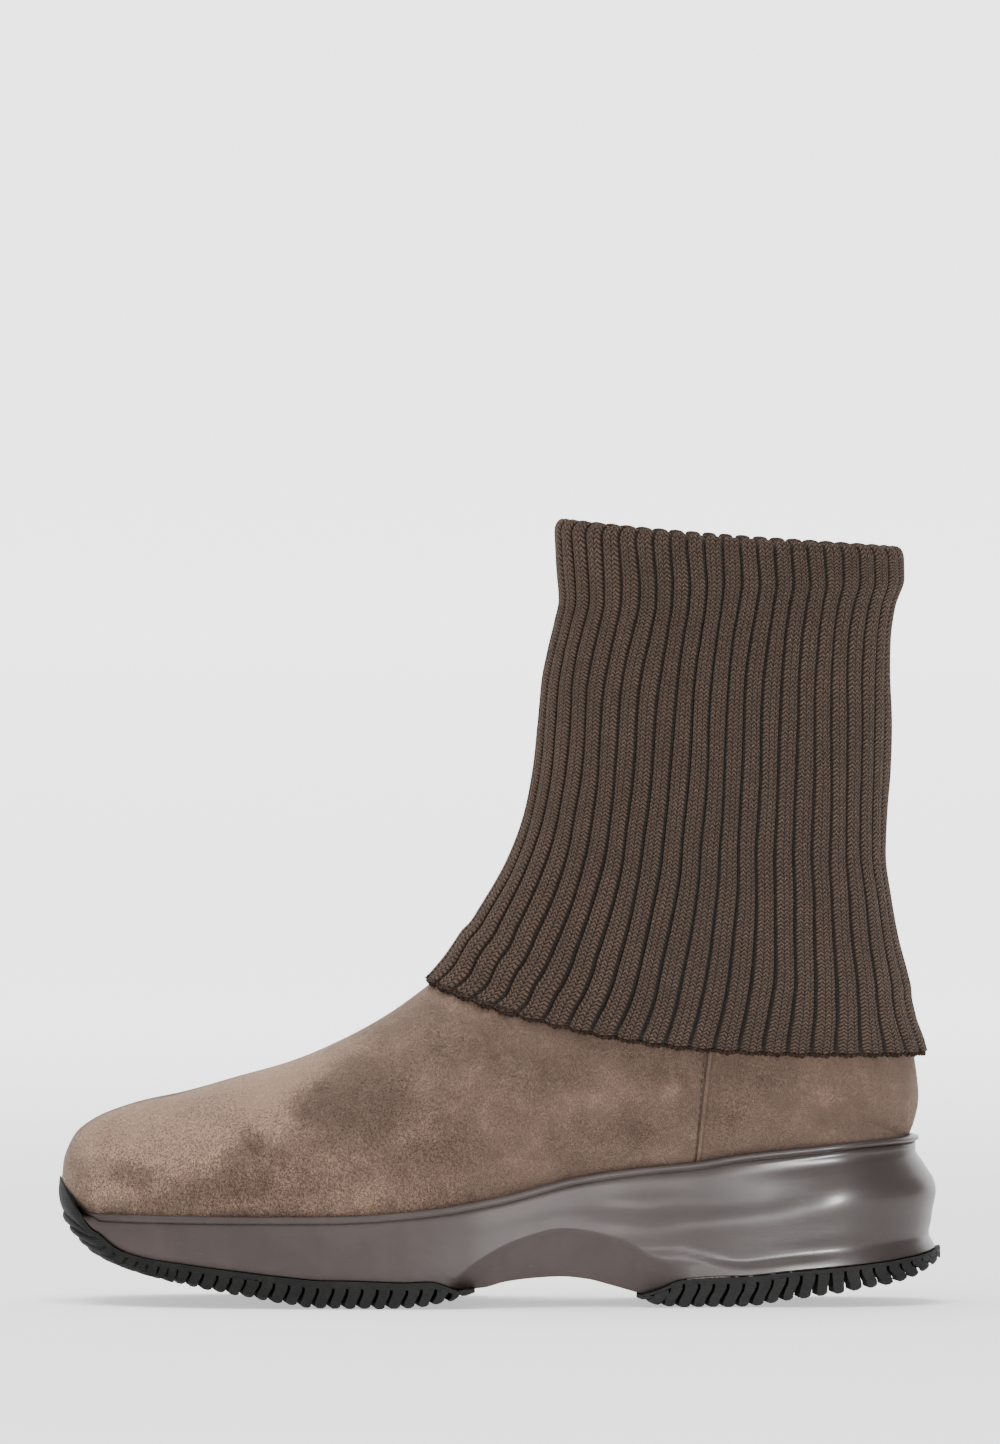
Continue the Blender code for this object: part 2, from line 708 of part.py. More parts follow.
def upper_section(row):
    """Points of one section of the upper's outside, from its outer-side end over the top.

    The first and last point stand in the cup, straight below the section's ends at the rim.
    """
    seat = UPPER.at("seat", row)
    climb = UPPER.at("climb", row)
    turn = turn_of(seat)
    outer = inset_point(turn, -1.0, seat_inset(seat))
    inner = inset_point(turn, 1.0, seat_inset(seat))
    x_low = (outer[0] + inner[0]) / 2.0
    z_low = rim_height(seat)
    if climb > 0.0:
        x_low, z_low = heel_back(climb)
    z_seat = z_low if climb > 0.0 else z_low - CUP_DEPTH + FIT_GAP
    start_row = min(row, 1.0)
    x_top = mix(x_low, along(UPPER.at("ahead", row)), start_row)
    z_top = mix(z_low, mix(FORE_RIM_HEIGHT, INSTEP_HEIGHT, UPPER.at("up", row)), start_row)
    half = UPPER.at("ball", row) * BALL_WIDTH + UPPER.at("ankle", row) * ANKLE_WIDTH
    collar_front = along(SHAFT.at("front", COLLAR_RISE)) + KNIT_WALL + 2.0 * FIT_GAP
    collar_half = SHAFT.at("half", COLLAR_RISE) * SHAFT_WIDTH - KNIT_WALL - 2.0 * FIT_GAP
    x_top = mix(x_top, collar_front, climb)
    half = mix(half, collar_half, climb)
    end_half = 0.0 if seat >= 1.0 else (inner[1] - outer[1]) / 2.0
    half = max(half, end_half)
    square = UPPER.at("square", row)
    at_heel = blend(11.0, 16.0, row) * (1.0 - blend(0.2, 1.0, climb))
    back_square = mix(square, HEEL_SQUARE, at_heel)
    start = math.asin(min(end_half / half, 1.0) ** (1.0 / back_square)) if end_half > 0.0 else 0.0
    droop = UPPER.at("droop", row) * HEM_SAG
    egg = HEM_EGG * (1.0 - COLLAR_RISE) * climb
    points = []
    for i in range(UPPER_ARC_STEPS + 1):
        angle = mix(start, 2.0 * math.pi - start, i / UPPER_ARC_STEPS)
        side = -1.0 if angle < math.pi else 1.0
        share = (math.cos(start) - math.cos(angle)) / (math.cos(start) + 1.0)
        x = mix(x_low, x_top, share)
        corner = mix(back_square, square, blend(0.0, 0.5, share))
        y = swing(x) + side * half * abs(math.sin(angle)) ** corner * (1.0 + egg * math.cos(angle))
        sag = droop * math.sin(math.pi * (1.0 - share) ** SAG_SKEW)
        points.append((x, y, mix(z_low, z_top, share) - sag))
    first = (points[0][0], points[0][1], z_seat)
    last = (points[-1][0], points[-1][1], z_seat)
    return [first] + points + [last]


def upper_surface():
    """Outer surface of the upper as points and faces. Only rows on the cup have a strip inside it."""
    points = []
    rows = upper_rows()
    for row in rows:
        points += upper_section(row)
    width = UPPER_ARC_STEPS + 3
    faces = []
    for number in range(len(rows) - 1):
        on_cup = number < PLAN_STEPS
        for i in range(width - 1):
            if on_cup or 0 < i < width - 2:
                low = number * width + i
                faces.append((low, low + width, low + width + 1, low + 1))
    return points, faces


def build_upper(material):
    """Suede upper: one hollow wall, open underneath and at the collar."""
    points, faces = upper_surface()
    mesh = bmesh.new()
    corners = [mesh.verts.new(point) for point in points]
    for face in faces:
        mesh.faces.new([corners[i] for i in face])
    bmesh.ops.remove_doubles(mesh, verts=mesh.verts, dist=1e-4)
    bmesh.ops.recalc_face_normals(mesh, faces=mesh.faces)
    data = bpy.data.meshes.new("upper")
    mesh.to_mesh(data)
    mesh.free()
    data.materials.append(material)
    piece = bpy.data.objects.new("upper", data)
    bpy.data.collections[OBJECT_NAME].objects.link(piece)
    wall = piece.modifiers.new("wall", "SOLIDIFY")
    wall.thickness = SUEDE_WALL
    wall.offset = -1.0
    split = piece.modifiers.new("triangles", "TRIANGULATE")
    split.quad_method = "BEAUTY"
    return piece


def shaft_ring(rise, inset, lift=0.0):
    """Evenly spaced points round the shaft at a share of its height, from its front round the outer side."""
    front = along(SHAFT.at("front", rise)) + inset
    back = along(SHAFT.at("back", rise)) - inset
    half = SHAFT.at("half", rise) * SHAFT_WIDTH - inset
    fold = BOOT_HEIGHT - FOLD_HEIGHT
    z_front = mix(HEM_FRONT_HEIGHT, fold, SHAFT.at("front_rise", rise)) + lift
    z_back = mix(HEM_BACK_HEIGHT, fold - TOP_DROP, SHAFT.at("back_rise", rise)) + lift
    droop = SHAFT.at("droop", rise) * HEM_SAG
    egg = HEM_EGG * (1.0 - rise)

    def place(angle):
        share = (1.0 - math.cos(angle)) / 2.0
        x = mix(front, back, share)
        y = -half * power(math.sin(angle), SHAFT_SQUARE) * (1.0 - egg * math.cos(angle))
        z = mix(z_front, z_back, share) - droop * math.sin(math.pi * share ** SAG_SKEW)
        return (x, swing(x) + y, z)

    fine = 720
    trace = np.array([place(2.0 * math.pi * i / fine) for i in range(fine + 1)])
    walk = np.concatenate(([0.0], np.cumsum(np.linalg.norm(np.diff(trace, axis=0), axis=1))))
    even = np.linspace(0.0, walk[-1], 2 * RIB_COUNT + 1)[:-1]
    return np.stack([np.interp(even, walk, trace[:, axis]) for axis in range(3)], axis=1)


def ribbed(ring, relief):
    """Every second column sinks towards the ring's middle, which leaves a rib between each two."""
    middle = ring.mean(axis=0)
    out = ring.copy()
    for i in range(1, len(ring), 2):
        inward = middle[:2] - ring[i, :2]
        out[i, :2] += inward / np.linalg.norm(inward) * relief
    return out


def over_suede(ring, surface):
    """Each point drawn in to the suede, a fit gap outside it."""
    middle = ring.mean(axis=0)
    out = ring.copy()
    for i, point in enumerate(ring):
        inward = middle - point
        inward[2] = 0.0
        inward /= np.linalg.norm(inward)
        start = point - inward * SUEDE_REACH
        hit = surface.ray_cast(Vector(start), Vector(inward), 2.0 * SUEDE_REACH)
        if hit[0] is None:
            out[i, :2] += inward[:2] * KNIT_WALL
        else:
            out[i, :2] = (np.array(hit[0]) - inward * COLLAR_CLEAR)[:2]
    return out


def build_shaft(material):
    """Rib-knit shaft turned down over itself: outside, fold, inside, and the hem's hollow over the collar."""
    points, faces = upper_surface()
    surface = BVHTree.FromPolygons(points, faces)
    under_rises = [COLLAR_RISE * share for share in (1.0, 0.67, 0.33, 0.0)]
    rings = []
    for rise in OUTER_RISES:
        outside = shaft_ring(rise, 0.0)
        if rise < COLLAR_RISE:
            clear = over_suede(outside, surface)
            outside = keep_wall(outside, clear)
        rings.append(ribbed(outside, RIB_RELIEF))
    for turn in (0.3, 0.6, 1.0):
        angle = turn * math.pi
        inset = KNIT_WALL * (1.0 - math.cos(angle))
        lift = FOLD_HEIGHT * math.sin(angle)
        rings.append(ribbed(shaft_ring(1.0, inset, lift), RIB_RELIEF * (1.0 - 0.7 * turn)))
    for rise in INNER_RISES:
        rings.append(ribbed(shaft_ring(rise, 2.0 * KNIT_WALL), 0.3 * RIB_RELIEF))
    seam = COLLAR_RISE + COLLAR_EASE
    rings.append(shaft_ring(seam, KNIT_WALL + SUEDE_WALL + FIT_GAP))
    rings.append(shaft_ring(seam, KNIT_WALL))
    for rise in under_rises:
        rings.append(over_suede(shaft_ring(rise, 0.0), surface))
    size = len(rings[0])
    points = [tuple(point) for ring in rings for point in ring]
    faces = ring_faces(len(rings), size)
    last = (len(rings) - 1) * size
    for i in range(size):
        j = (i + 1) % size
        faces.append((last + i, last + j, j, i))
    return closed_mesh("knit_shaft", points, faces, material)


def keep_wall(outside, clear):
    """Outside points pushed out where the suede leaves the knit less than its wall."""
    out = outside.copy()
    middle = outside.mean(axis=0)
    for i, point in enumerate(outside):
        outward = point - middle
        outward[2] = 0.0
        outward /= np.linalg.norm(outward)
        wall = float(np.dot(point - clear[i], outward))
        if wall < KNIT_WALL:
            out[i] = point + outward * (KNIT_WALL - wall)
    return out


def main():
    for old in list(bpy.data.objects):
        bpy.data.objects.remove(old, do_unlink=True)
    parts = bpy.data.collections.new(OBJECT_NAME)
    bpy.context.scene.collection.children.link(parts)
    rubber = make_material("tread_rubber", (0.028, 0.027, 0.025), 0.72)
    shell = make_material("midsole_shell", (0.135, 0.108, 0.102), 0.32, 0.4)
    suede = make_material("suede", (0.27, 0.178, 0.128), 0.92)
    knit = make_material("rib_knit", (0.080, 0.052, 0.040), 0.95)
    lining = make_material("insole_pad", (0.17, 0.13, 0.10), 0.85)
    build_forefoot_tread(rubber)
    build_heel_tread(rubber)
    build_midsole(shell)
    build_insole(lining)
    build_upper(suede)
    build_shaft(knit)


main()
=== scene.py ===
"""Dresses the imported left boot: suede upper, rib-knit shaft, moulded midsole and ridged rubber tread.

Metres, +Z up. The toe points to -X and the outer side of the foot to -Y. The sizes, tables and outline
functions repeat those of the solids, so that each dressed piece lies where its solid is. Only the rim's
rows at the toe and the crease of the arch are drawn more finely than in the solids.
"""
import math

import bmesh
import bpy
import numpy as np
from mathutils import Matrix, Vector
from mathutils.bvhtree import BVHTree


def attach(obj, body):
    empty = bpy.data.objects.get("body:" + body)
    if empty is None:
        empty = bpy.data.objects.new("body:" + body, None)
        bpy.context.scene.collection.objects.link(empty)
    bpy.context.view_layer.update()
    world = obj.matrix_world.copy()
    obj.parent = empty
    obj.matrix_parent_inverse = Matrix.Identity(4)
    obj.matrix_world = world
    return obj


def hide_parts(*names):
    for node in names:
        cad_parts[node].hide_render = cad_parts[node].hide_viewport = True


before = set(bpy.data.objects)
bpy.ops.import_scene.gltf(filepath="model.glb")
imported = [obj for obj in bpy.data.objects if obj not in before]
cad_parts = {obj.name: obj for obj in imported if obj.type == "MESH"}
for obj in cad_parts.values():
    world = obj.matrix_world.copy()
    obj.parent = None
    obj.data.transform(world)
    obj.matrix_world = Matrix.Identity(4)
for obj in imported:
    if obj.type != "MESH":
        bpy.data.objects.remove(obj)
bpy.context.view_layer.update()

# Sole
SOLE_LENGTH = 0.270
BALL_WIDTH = 0.098
TOE_ROUND = 0.054
HEEL_ROUND = 0.038
END_SQUARENESS = 2.25
FORE_RIM_HEIGHT = 0.028
HEEL_RIM_HEIGHT = 0.0515
RIM_BAND = 0.0028
RIM_LIP = 0.0016
CUP_DEPTH = 0.0030
ARCH_UNDERCUT = 0.0095
RIM_INSET_FORE = 0.0032
RIM_INSET_SIDE = 0.0050
RIM_INSET_HEEL = 0.0080
RIM_INSET_TOE = 0.0052
# Tread
TREAD_DEPTH = 0.0085
TOE_SPRING = 0.022
HEEL_SPRING = 0.015
ARCH_RISE = 0.009
BUMPER_HEIGHT = 0.0383
BAR_PITCH = 0.0045
BAR_WAVE = 0.0014
ARCH_START = 0.454
ARCH_END = 0.659
# Upper
SUEDE_WALL = 0.0020
INSTEP_HEIGHT = 0.0985
ANKLE_WIDTH = 0.063
COLLAR_BACK_HEIGHT = 0.0975
HEEL_BULGE = 0.0028
HEEL_SQUARE = 0.60
# Knit shaft
BOOT_HEIGHT = 0.2395
SHAFT_WIDTH = 0.054
HEM_FRONT_HEIGHT = 0.0996
HEM_BACK_HEIGHT = 0.0774
TOP_DROP = 0.0085
KNIT_WALL = 0.0027
RIB_COUNT = 48
FOLD_HEIGHT = 0.0040
HEM_SAG = 0.0085
# Fit between neighbours
FIT_GAP = 0.0003
COLLAR_CLEAR = 0.0018
MM = 0.001


class Table:
    """Rows of shares with named columns. The first column is where each row lies."""

    def __init__(self, names, rows):
        self.names = names.split()
        self.values = np.array(rows, dtype=float)

    def at(self, name, place):
        """Monotone cubic curve through one column, so that it never overshoots its rows."""
        x = self.values[:, 0]
        y = self.values[:, self.names.index(name)]
        place = min(max(place, x[0]), x[-1])
        step = np.diff(x)
        slope = np.diff(y) / step
        rate = np.zeros(len(x))
        rate[0] = slope[0]
        rate[-1] = slope[-1]
        for i in range(1, len(x) - 1):
            if slope[i - 1] * slope[i] > 0.0:
                before = 2.0 * step[i] + step[i - 1]
                after = step[i] + 2.0 * step[i - 1]
                rate[i] = (before + after) / (before / slope[i - 1] + after / slope[i])
        i = min(max(int(np.searchsorted(x, place)) - 1, 0), len(x) - 2)
        t = (place - x[i]) / step[i]
        keep = (1.0 + 2.0 * t) * (1.0 - t) ** 2
        reach = t * t * (3.0 - 2.0 * t)
        leave = t * (1.0 - t) ** 2 * step[i]
        arrive = t * t * (t - 1.0) * step[i]
        return float(keep * y[i] + reach * y[i + 1] + leave * rate[i] + arrive * rate[i + 1])


# Plan of the sole: half width and sideways swing of the middle line, as shares of the ball's width
PLAN = Table("station half_width swing", (
    (0.00, 0.430, 0.070),
    (0.10, 0.458, 0.055),
    (0.20, 0.486, 0.028),
    (0.30, 0.500, 0.000),
    (0.38, 0.492, -0.022),
    (0.46, 0.458, -0.038),
    (0.55, 0.402, -0.044),
    (0.65, 0.362, -0.036),
    (0.75, 0.355, -0.022),
    (0.87, 0.364, -0.008),
    (1.00, 0.366, 0.000),
))

# Rise of the rim from its height at the ball to its height at the heel
RIM = Table("station rise", (
    (0.000, 0.150),
    (0.012, 0.080),
    (0.024, 0.012),
    (0.036, -0.010),
    (0.20, -0.01),
    (0.31, 0.00),
    (0.41, 0.075),
    (0.50, 0.240),
    (0.59, 0.495),
    (0.665, 0.620),
    (0.72, 0.680),
    (0.775, 0.785),
    (0.85, 0.880),
    (0.92, 0.955),
    (1.00, 1.000),
))

# Underside of the tread ahead of the arch: lift as a share of the toe spring, depth of the tread's depth
TOE_LIFT = Table("station lift depth", (
    (0.0275, 1.160, 0.10),
    (0.030, 1.080, 0.19),
    (0.040, 0.900, 0.35),
    (0.051, 0.740, 0.42),
    (0.066, 0.605, 0.48),
    (0.095, 0.460, 0.58),
    (0.138, 0.330, 0.71),
    (0.174, 0.240, 0.80),
    (0.206, 0.175, 0.85),
    (0.253, 0.070, 0.95),
    (0.305, 0.000, 1.00),
    (0.385, 0.000, 0.93),
    (0.420, 0.040, 0.86),
    (0.454, 0.140, 0.26),
))
# Bare arch between the treads: lift as a share of the arch's rise
ARCH_LIFT = Table("station lift", (
    (0.454, 0.60),
    (0.480, 0.64),
    (0.506, 0.84),
    (0.540, 0.96),
    (0.567, 1.00),
    (0.596, 0.92),
    (0.628, 0.68),
    (0.659, 0.42),
))
# Underside of the tread behind the arch: lift as a share of the heel spring
HEEL_LIFT = Table("station lift depth", (
    (0.659, 0.170, 0.14),
    (0.682, 0.030, 0.62),
    (0.706, 0.000, 0.98),
    (0.765, 0.000, 1.08),
    (0.832, 0.150, 1.00),
    (0.905, 0.340, 0.88),
    (0.955, 0.510, 0.78),
    (0.984, 0.740, 0.54),
    (1.000, 0.960, 0.36),
))
# Toe bumper, by fan section. edge is the station of a section's ends, ahead the share of that length by
# which its middle lies forward, up how far its middle climbs to the bumper's height, lean turns its
# depth from straight down (0) to straight forward (1)
BUMPER = Table("fan edge ahead up lean depth", (
    (0.00, 0.0275, 0.946, 1.000, 1.00, 0.10),
    (0.14, 0.0300, 1.000, 0.670, 0.97, 0.19),
    (0.28, 0.0340, 0.900, 0.337, 0.86, 0.27),
    (0.42, 0.0400, 0.780, 0.205, 0.66, 0.35),
    (0.56, 0.0510, 0.600, 0.164, 0.48, 0.42),
    (0.70, 0.0730, 0.442, 0.110, 0.30, 0.50),
    (0.85, 0.1050, 0.225, 0.055, 0.15, 0.60),
    (1.00, 0.1380, 0.000, 0.000, 0.06, 0.71),
))
# Side wall of the midsole below its rim band: inset from the plan as a share of the rim's inset
WALL = Table("height fore heel", (
    (0.00, 0.32, 0.25),
    (0.14, 0.26, 0.41),
    (0.30, 0.32, 0.39),
    (0.50, 0.46, 0.31),
    (0.66, 0.62, 0.43),
    (0.82, 0.80, 0.72),
    (1.00, 0.95, 0.93),
))
# Hollow in the side of the arch: height of its crease as a share of the side wall
SCOOP = Table("station crease", (
    (0.440, 0.02),
    (0.456, 0.20),
    (0.488, 0.41),
    (0.526, 0.52),
    (0.559, 0.56),
    (0.585, 0.53),
    (0.617, 0.47),
    (0.645, 0.42),
    (0.671, 0.29),
    (0.699, 0.13),
    (0.714, 0.03),
    (0.730, 0.02),
))
# Sections of the upper, fanned about the foot. seat is the station of a section's ends on the cup, climb
# how far its back end has risen up the heel, ahead and up place its top on the ridge, ball and ankle
# give its half width, square rounds it (1) or fills its corners (less), droop is a share of the hem's sag
UPPER = Table("row seat climb ahead up ball ankle square droop", (
    (0, 0.000, 0.00, 0.0218, -0.010, 0.000, 0.000, 0.80, 0.00),
    (1, 0.003, 0.00, 0.0150, 0.062, 0.070, 0.000, 0.78, 0.00),
    (2, 0.012, 0.00, 0.0095, 0.116, 0.150, 0.000, 0.76, 0.00),
    (3, 0.030, 0.00, 0.0067, 0.206, 0.215, 0.000, 0.74, 0.00),
    (4, 0.052, 0.00, 0.0170, 0.318, 0.275, 0.000, 0.74, 0.00),
    (5, 0.085, 0.00, 0.0407, 0.396, 0.336, 0.000, 0.76, 0.00),
    (6, 0.130, 0.00, 0.0889, 0.467, 0.398, 0.000, 0.78, 0.00),
    (7, 0.190, 0.00, 0.1481, 0.519, 0.444, 0.000, 0.80, 0.00),
    (8, 0.260, 0.00, 0.2074, 0.584, 0.462, 0.000, 0.83, 0.00),
    (9, 0.345, 0.00, 0.2667, 0.651, 0.458, 0.000, 0.87, 0.00),
    (10, 0.450, 0.00, 0.3259, 0.750, 0.300, 0.192, 0.90, 0.00),
    (11, 0.550, 0.00, 0.3741, 0.854, 0.150, 0.362, 0.92, 0.00),
    (12, 0.660, 0.00, 0.4096, 0.952, 0.050, 0.472, 0.93, 0.05),
    (13, 0.770, 0.00, 0.4333, 1.024, 0.000, 0.526, 0.92, 0.15),
    (14, 0.870, 0.00, 0.4500, 1.089, 0.000, 0.515, 0.91, 0.30),
    (15, 0.950, 0.00, 0.4630, 1.157, 0.000, 0.507, 0.90, 0.45),
    (16, 1.000, 0.00, 0.4722, 1.210, 0.000, 0.500, 0.89, 0.60),
    (17, 1.000, 0.25, 0.4770, 1.241, 0.000, 0.495, 0.88, 0.70),
    (18, 1.000, 0.50, 0.4807, 1.267, 0.000, 0.491, 0.87, 0.78),
    (19, 1.000, 0.75, 0.4837, 1.288, 0.000, 0.486, 0.86, 0.85),
    (20, 1.000, 1.00, 0.4859, 1.305, 0.000, 0.480, 0.85, 0.90),
))
# Back of the heel: out is a share of the heel's bulge, rise of the way up to the collar
BACK = Table("climb out rise", (
    (0.00, 0.00, 0.00),
    (0.08, 0.50, 0.08),
    (0.25, 1.00, 0.24),
    (0.50, 0.55, 0.50),
    (0.75, -0.32, 0.755),
    (1.00, -1.30, 1.00),
))
# Outside of the knit shaft from hem to fold. front and back are stations, the rises are shares of the
# way from hem to fold, half is a share of the shaft's width and droop of the hem's sag
SHAFT = Table("rise front front_rise back back_rise half droop", (
    (0.000, 0.4219, 0.000, 0.9785, 0.000, 0.660, 1.00),
    (0.070, 0.4526, 0.079, 0.9711, 0.068, 0.656, 0.96),
    (0.155, 0.4830, 0.169, 0.9600, 0.150, 0.645, 0.88),
    (0.240, 0.5078, 0.259, 0.9493, 0.231, 0.624, 0.76),
    (0.325, 0.5248, 0.349, 0.9430, 0.312, 0.600, 0.65),
    (0.400, 0.5330, 0.415, 0.9375, 0.398, 0.578, 0.54),
    (0.475, 0.5385, 0.489, 0.9389, 0.485, 0.557, 0.44),
    (0.560, 0.5415, 0.573, 0.9415, 0.572, 0.538, 0.35),
    (0.650, 0.5452, 0.664, 0.9422, 0.666, 0.526, 0.26),
    (0.730, 0.5526, 0.732, 0.9411, 0.753, 0.511, 0.19),
    (0.810, 0.5615, 0.798, 0.9426, 0.833, 0.500, 0.14),
    (0.870, 0.5667, 0.849, 0.9481, 0.903, 0.496, 0.12),
    (0.930, 0.5637, 0.915, 0.9578, 0.957, 0.500, 0.12),
    (1.000, 0.5610, 1.000, 0.9570, 1.000, 0.504, 0.12),
))
COLLAR_RISE = 0.142
COLLAR_EASE = 0.010
SHAFT_SQUARE = 0.86
SAG_SKEW = 0.8
SUEDE_REACH = 0.012
HEM_EGG = 0.10


# Outlines shared with the solids
def blend(low, high, value):
    """Smooth step from 0 at low to 1 at high."""
    t = min(max((value - low) / (high - low), 0.0), 1.0)
    return t * t * (3.0 - 2.0 * t)


def mix(first, second, share):
    return first + (second - first) * share


def power(value, exponent):
    return math.copysign(abs(value) ** exponent, value)


def along(station):
    """World X of a station."""
    return (station - 0.5) * SOLE_LENGTH


def end_round(station):
    """Rounded ends of the plan: 0 at the tips, 1 past the end's rounding."""
    toe = min(station * SOLE_LENGTH / TOE_ROUND, 1.0)
    heel = min((1.0 - station) * SOLE_LENGTH / HEEL_ROUND, 1.0)
    toe_part = (1.0 - (1.0 - toe) ** END_SQUARENESS) ** (1.0 / END_SQUARENESS)
    heel_part = (1.0 - (1.0 - heel) ** END_SQUARENESS) ** (1.0 / END_SQUARENESS)
    return toe_part * heel_part


def swing(x):
    """Sideways place of the foot's middle line at a world X."""
    return PLAN.at("swing", x / SOLE_LENGTH + 0.5) * BALL_WIDTH


def half_plan(station):
    return PLAN.at("half_width", station) * BALL_WIDTH * end_round(station)


def turn_of(station):
    """Turns run 0 to 1 from toe to heel and lie close together at both ends."""
    return math.acos(1.0 - 2.0 * min(max(station, 0.0), 1.0)) / math.pi


def station_of(turn):
    return 0.5 - 0.5 * math.cos(math.pi * turn)


def plan_point(turn, side):
    station = station_of(turn)
    x = along(station)
    return np.array((x, swing(x) + side * half_plan(station)))


def inset_point(turn, side, inset):
    """Point of the plan moved inwards, square to the plan's edge."""
    near = 1e-3
    run = plan_point(min(turn + near, 1.0), side) - plan_point(max(turn - near, 0.0), side)
    run /= np.linalg.norm(run)
    inward = np.array((side * run[1], -side * run[0]))
    if turn <= 0.0:
        inward = np.array((1.0, 0.0))
    if turn >= 1.0:
        inward = np.array((-1.0, 0.0))
    return plan_point(turn, side) + inward * inset


def rim_height(station):
    return mix(FORE_RIM_HEIGHT, HEEL_RIM_HEIGHT, RIM.at("rise", station))


def fore_bottom(station):
    """Height over the floor of the forefoot bars' ends."""
    return TOE_LIFT.at("lift", station) * TOE_SPRING


def heel_bottom(station):
    return HEEL_LIFT.at("lift", station) * HEEL_SPRING


def sole_face(station):
    """Height of the face between tread and midsole, and of the bare arch between the treads."""
    if station <= ARCH_START:
        return fore_bottom(station) + TOE_LIFT.at("depth", station) * TREAD_DEPTH
    if station >= ARCH_END:
        return heel_bottom(station) + HEEL_LIFT.at("depth", station) * TREAD_DEPTH
    return ARCH_LIFT.at("lift", station) * ARCH_RISE


def heel_share(station):
    """0 along the forefoot and 1 round the heel."""
    return blend(0.45, 0.82, station)


def rim_inset(station):
    """Inset of the rim's outer edge from the plan."""
    inset = mix(RIM_INSET_FORE, RIM_INSET_SIDE, heel_share(station))
    inset = mix(inset, RIM_INSET_HEEL, blend(0.88, 1.0, station))
    return mix(RIM_INSET_TOE, inset, blend(0.0, 0.035, station))


def seat_inset(station):
    """Inset of the suede where it stands inside the rim's lip."""
    return rim_inset(station) + RIM_LIP + FIT_GAP


def bumper_section(fan):
    """Outer edge, outer middle, lean and depth of one fan section of the toe bumper."""
    edge = BUMPER.at("edge", fan)
    low = fore_bottom(edge)
    middle = along(edge * (1.0 - BUMPER.at("ahead", fan)))
    high = mix(low, BUMPER_HEIGHT, BUMPER.at("up", fan))
    lean = BUMPER.at("lean", fan) * math.pi / 2.0
    return edge, low, middle, high, lean, BUMPER.at("depth", fan) * TREAD_DEPTH


def bumper_edge():
    """Places (x, z) along the bumper's upper edge, where the midsole stands on it."""
    edges = []
    for fan in np.linspace(0.0, 1.0, 41):
        edge, low, middle, high, lean, depth = bumper_section(fan)
        reach = math.sin(lean) * depth
        fall = math.cos(lean) * depth
        edges.append((along(edge) + reach, low + fall))
    return np.array(edges)


BOND_EDGES = bumper_edge()


def bond_edge(station):
    """Height of the midsole's lower edge over the tread, or of the bare arch."""
    x = along(station)
    if x < BOND_EDGES[-1, 0]:
        return float(np.interp(x, BOND_EDGES[:, 0], BOND_EDGES[:, 1]))
    return sole_face(station)


def heel_back(climb):
    """Place (x, z) up the back of the heel, from the rim to the collar."""
    x = along(1.0) - seat_inset(1.0)
    collar = along(SHAFT.at("back", COLLAR_RISE)) - KNIT_WALL - 2.0 * FIT_GAP
    x = mix(x + BACK.at("out", climb) * HEEL_BULGE, collar, blend(0.55, 1.0, climb))
    return x, mix(rim_height(1.0), COLLAR_BACK_HEIGHT, BACK.at("rise", climb))


def upper_section(row):
    """Points of one section of the upper's outside, from its outer-side end over the top.

    The first and last point stand in the cup, straight below the section's ends at the rim.
    """
    seat = UPPER.at("seat", row)
    climb = UPPER.at("climb", row)
    turn = turn_of(seat)
    outer = inset_point(turn, -1.0, seat_inset(seat))
    inner = inset_point(turn, 1.0, seat_inset(seat))
    x_low = (outer[0] + inner[0]) / 2.0
    z_low = rim_height(seat)
    if climb > 0.0:
        x_low, z_low = heel_back(climb)
    z_seat = z_low if climb > 0.0 else z_low - CUP_DEPTH + FIT_GAP
    start_row = min(row, 1.0)
    x_top = mix(x_low, along(UPPER.at("ahead", row)), start_row)
    z_top = mix(z_low, mix(FORE_RIM_HEIGHT, INSTEP_HEIGHT, UPPER.at("up", row)), start_row)
    half = UPPER.at("ball", row) * BALL_WIDTH + UPPER.at("ankle", row) * ANKLE_WIDTH
    collar_front = along(SHAFT.at("front", COLLAR_RISE)) + KNIT_WALL + 2.0 * FIT_GAP
    collar_half = SHAFT.at("half", COLLAR_RISE) * SHAFT_WIDTH - KNIT_WALL - 2.0 * FIT_GAP
    x_top = mix(x_top, collar_front, climb)
    half = mix(half, collar_half, climb)
    end_half = 0.0 if seat >= 1.0 else (inner[1] - outer[1]) / 2.0
    half = max(half, end_half)
    square = UPPER.at("square", row)
    at_heel = blend(11.0, 16.0, row) * (1.0 - blend(0.2, 1.0, climb))
    back_square = mix(square, HEEL_SQUARE, at_heel)
    start = math.asin(min(end_half / half, 1.0) ** (1.0 / back_square)) if end_half > 0.0 else 0.0
    droop = UPPER.at("droop", row) * HEM_SAG
    egg = HEM_EGG * (1.0 - COLLAR_RISE) * climb
    points = []
    for i in range(UPPER_ARC_STEPS + 1):
        angle = mix(start, 2.0 * math.pi - start, i / UPPER_ARC_STEPS)
        side = -1.0 if angle < math.pi else 1.0
        share = (math.cos(start) - math.cos(angle)) / (math.cos(start) + 1.0)
        x = mix(x_low, x_top, share)
        corner = mix(back_square, square, blend(0.0, 0.5, share))
        y = swing(x) + side * half * abs(math.sin(angle)) ** corner * (1.0 + egg * math.cos(angle))
        sag = droop * math.sin(math.pi * (1.0 - share) ** SAG_SKEW)
        points.append((x, y, mix(z_low, z_top, share) - sag))
    first = (points[0][0], points[0][1], z_seat)
    last = (points[-1][0], points[-1][1], z_seat)
    return [first] + points + [last]


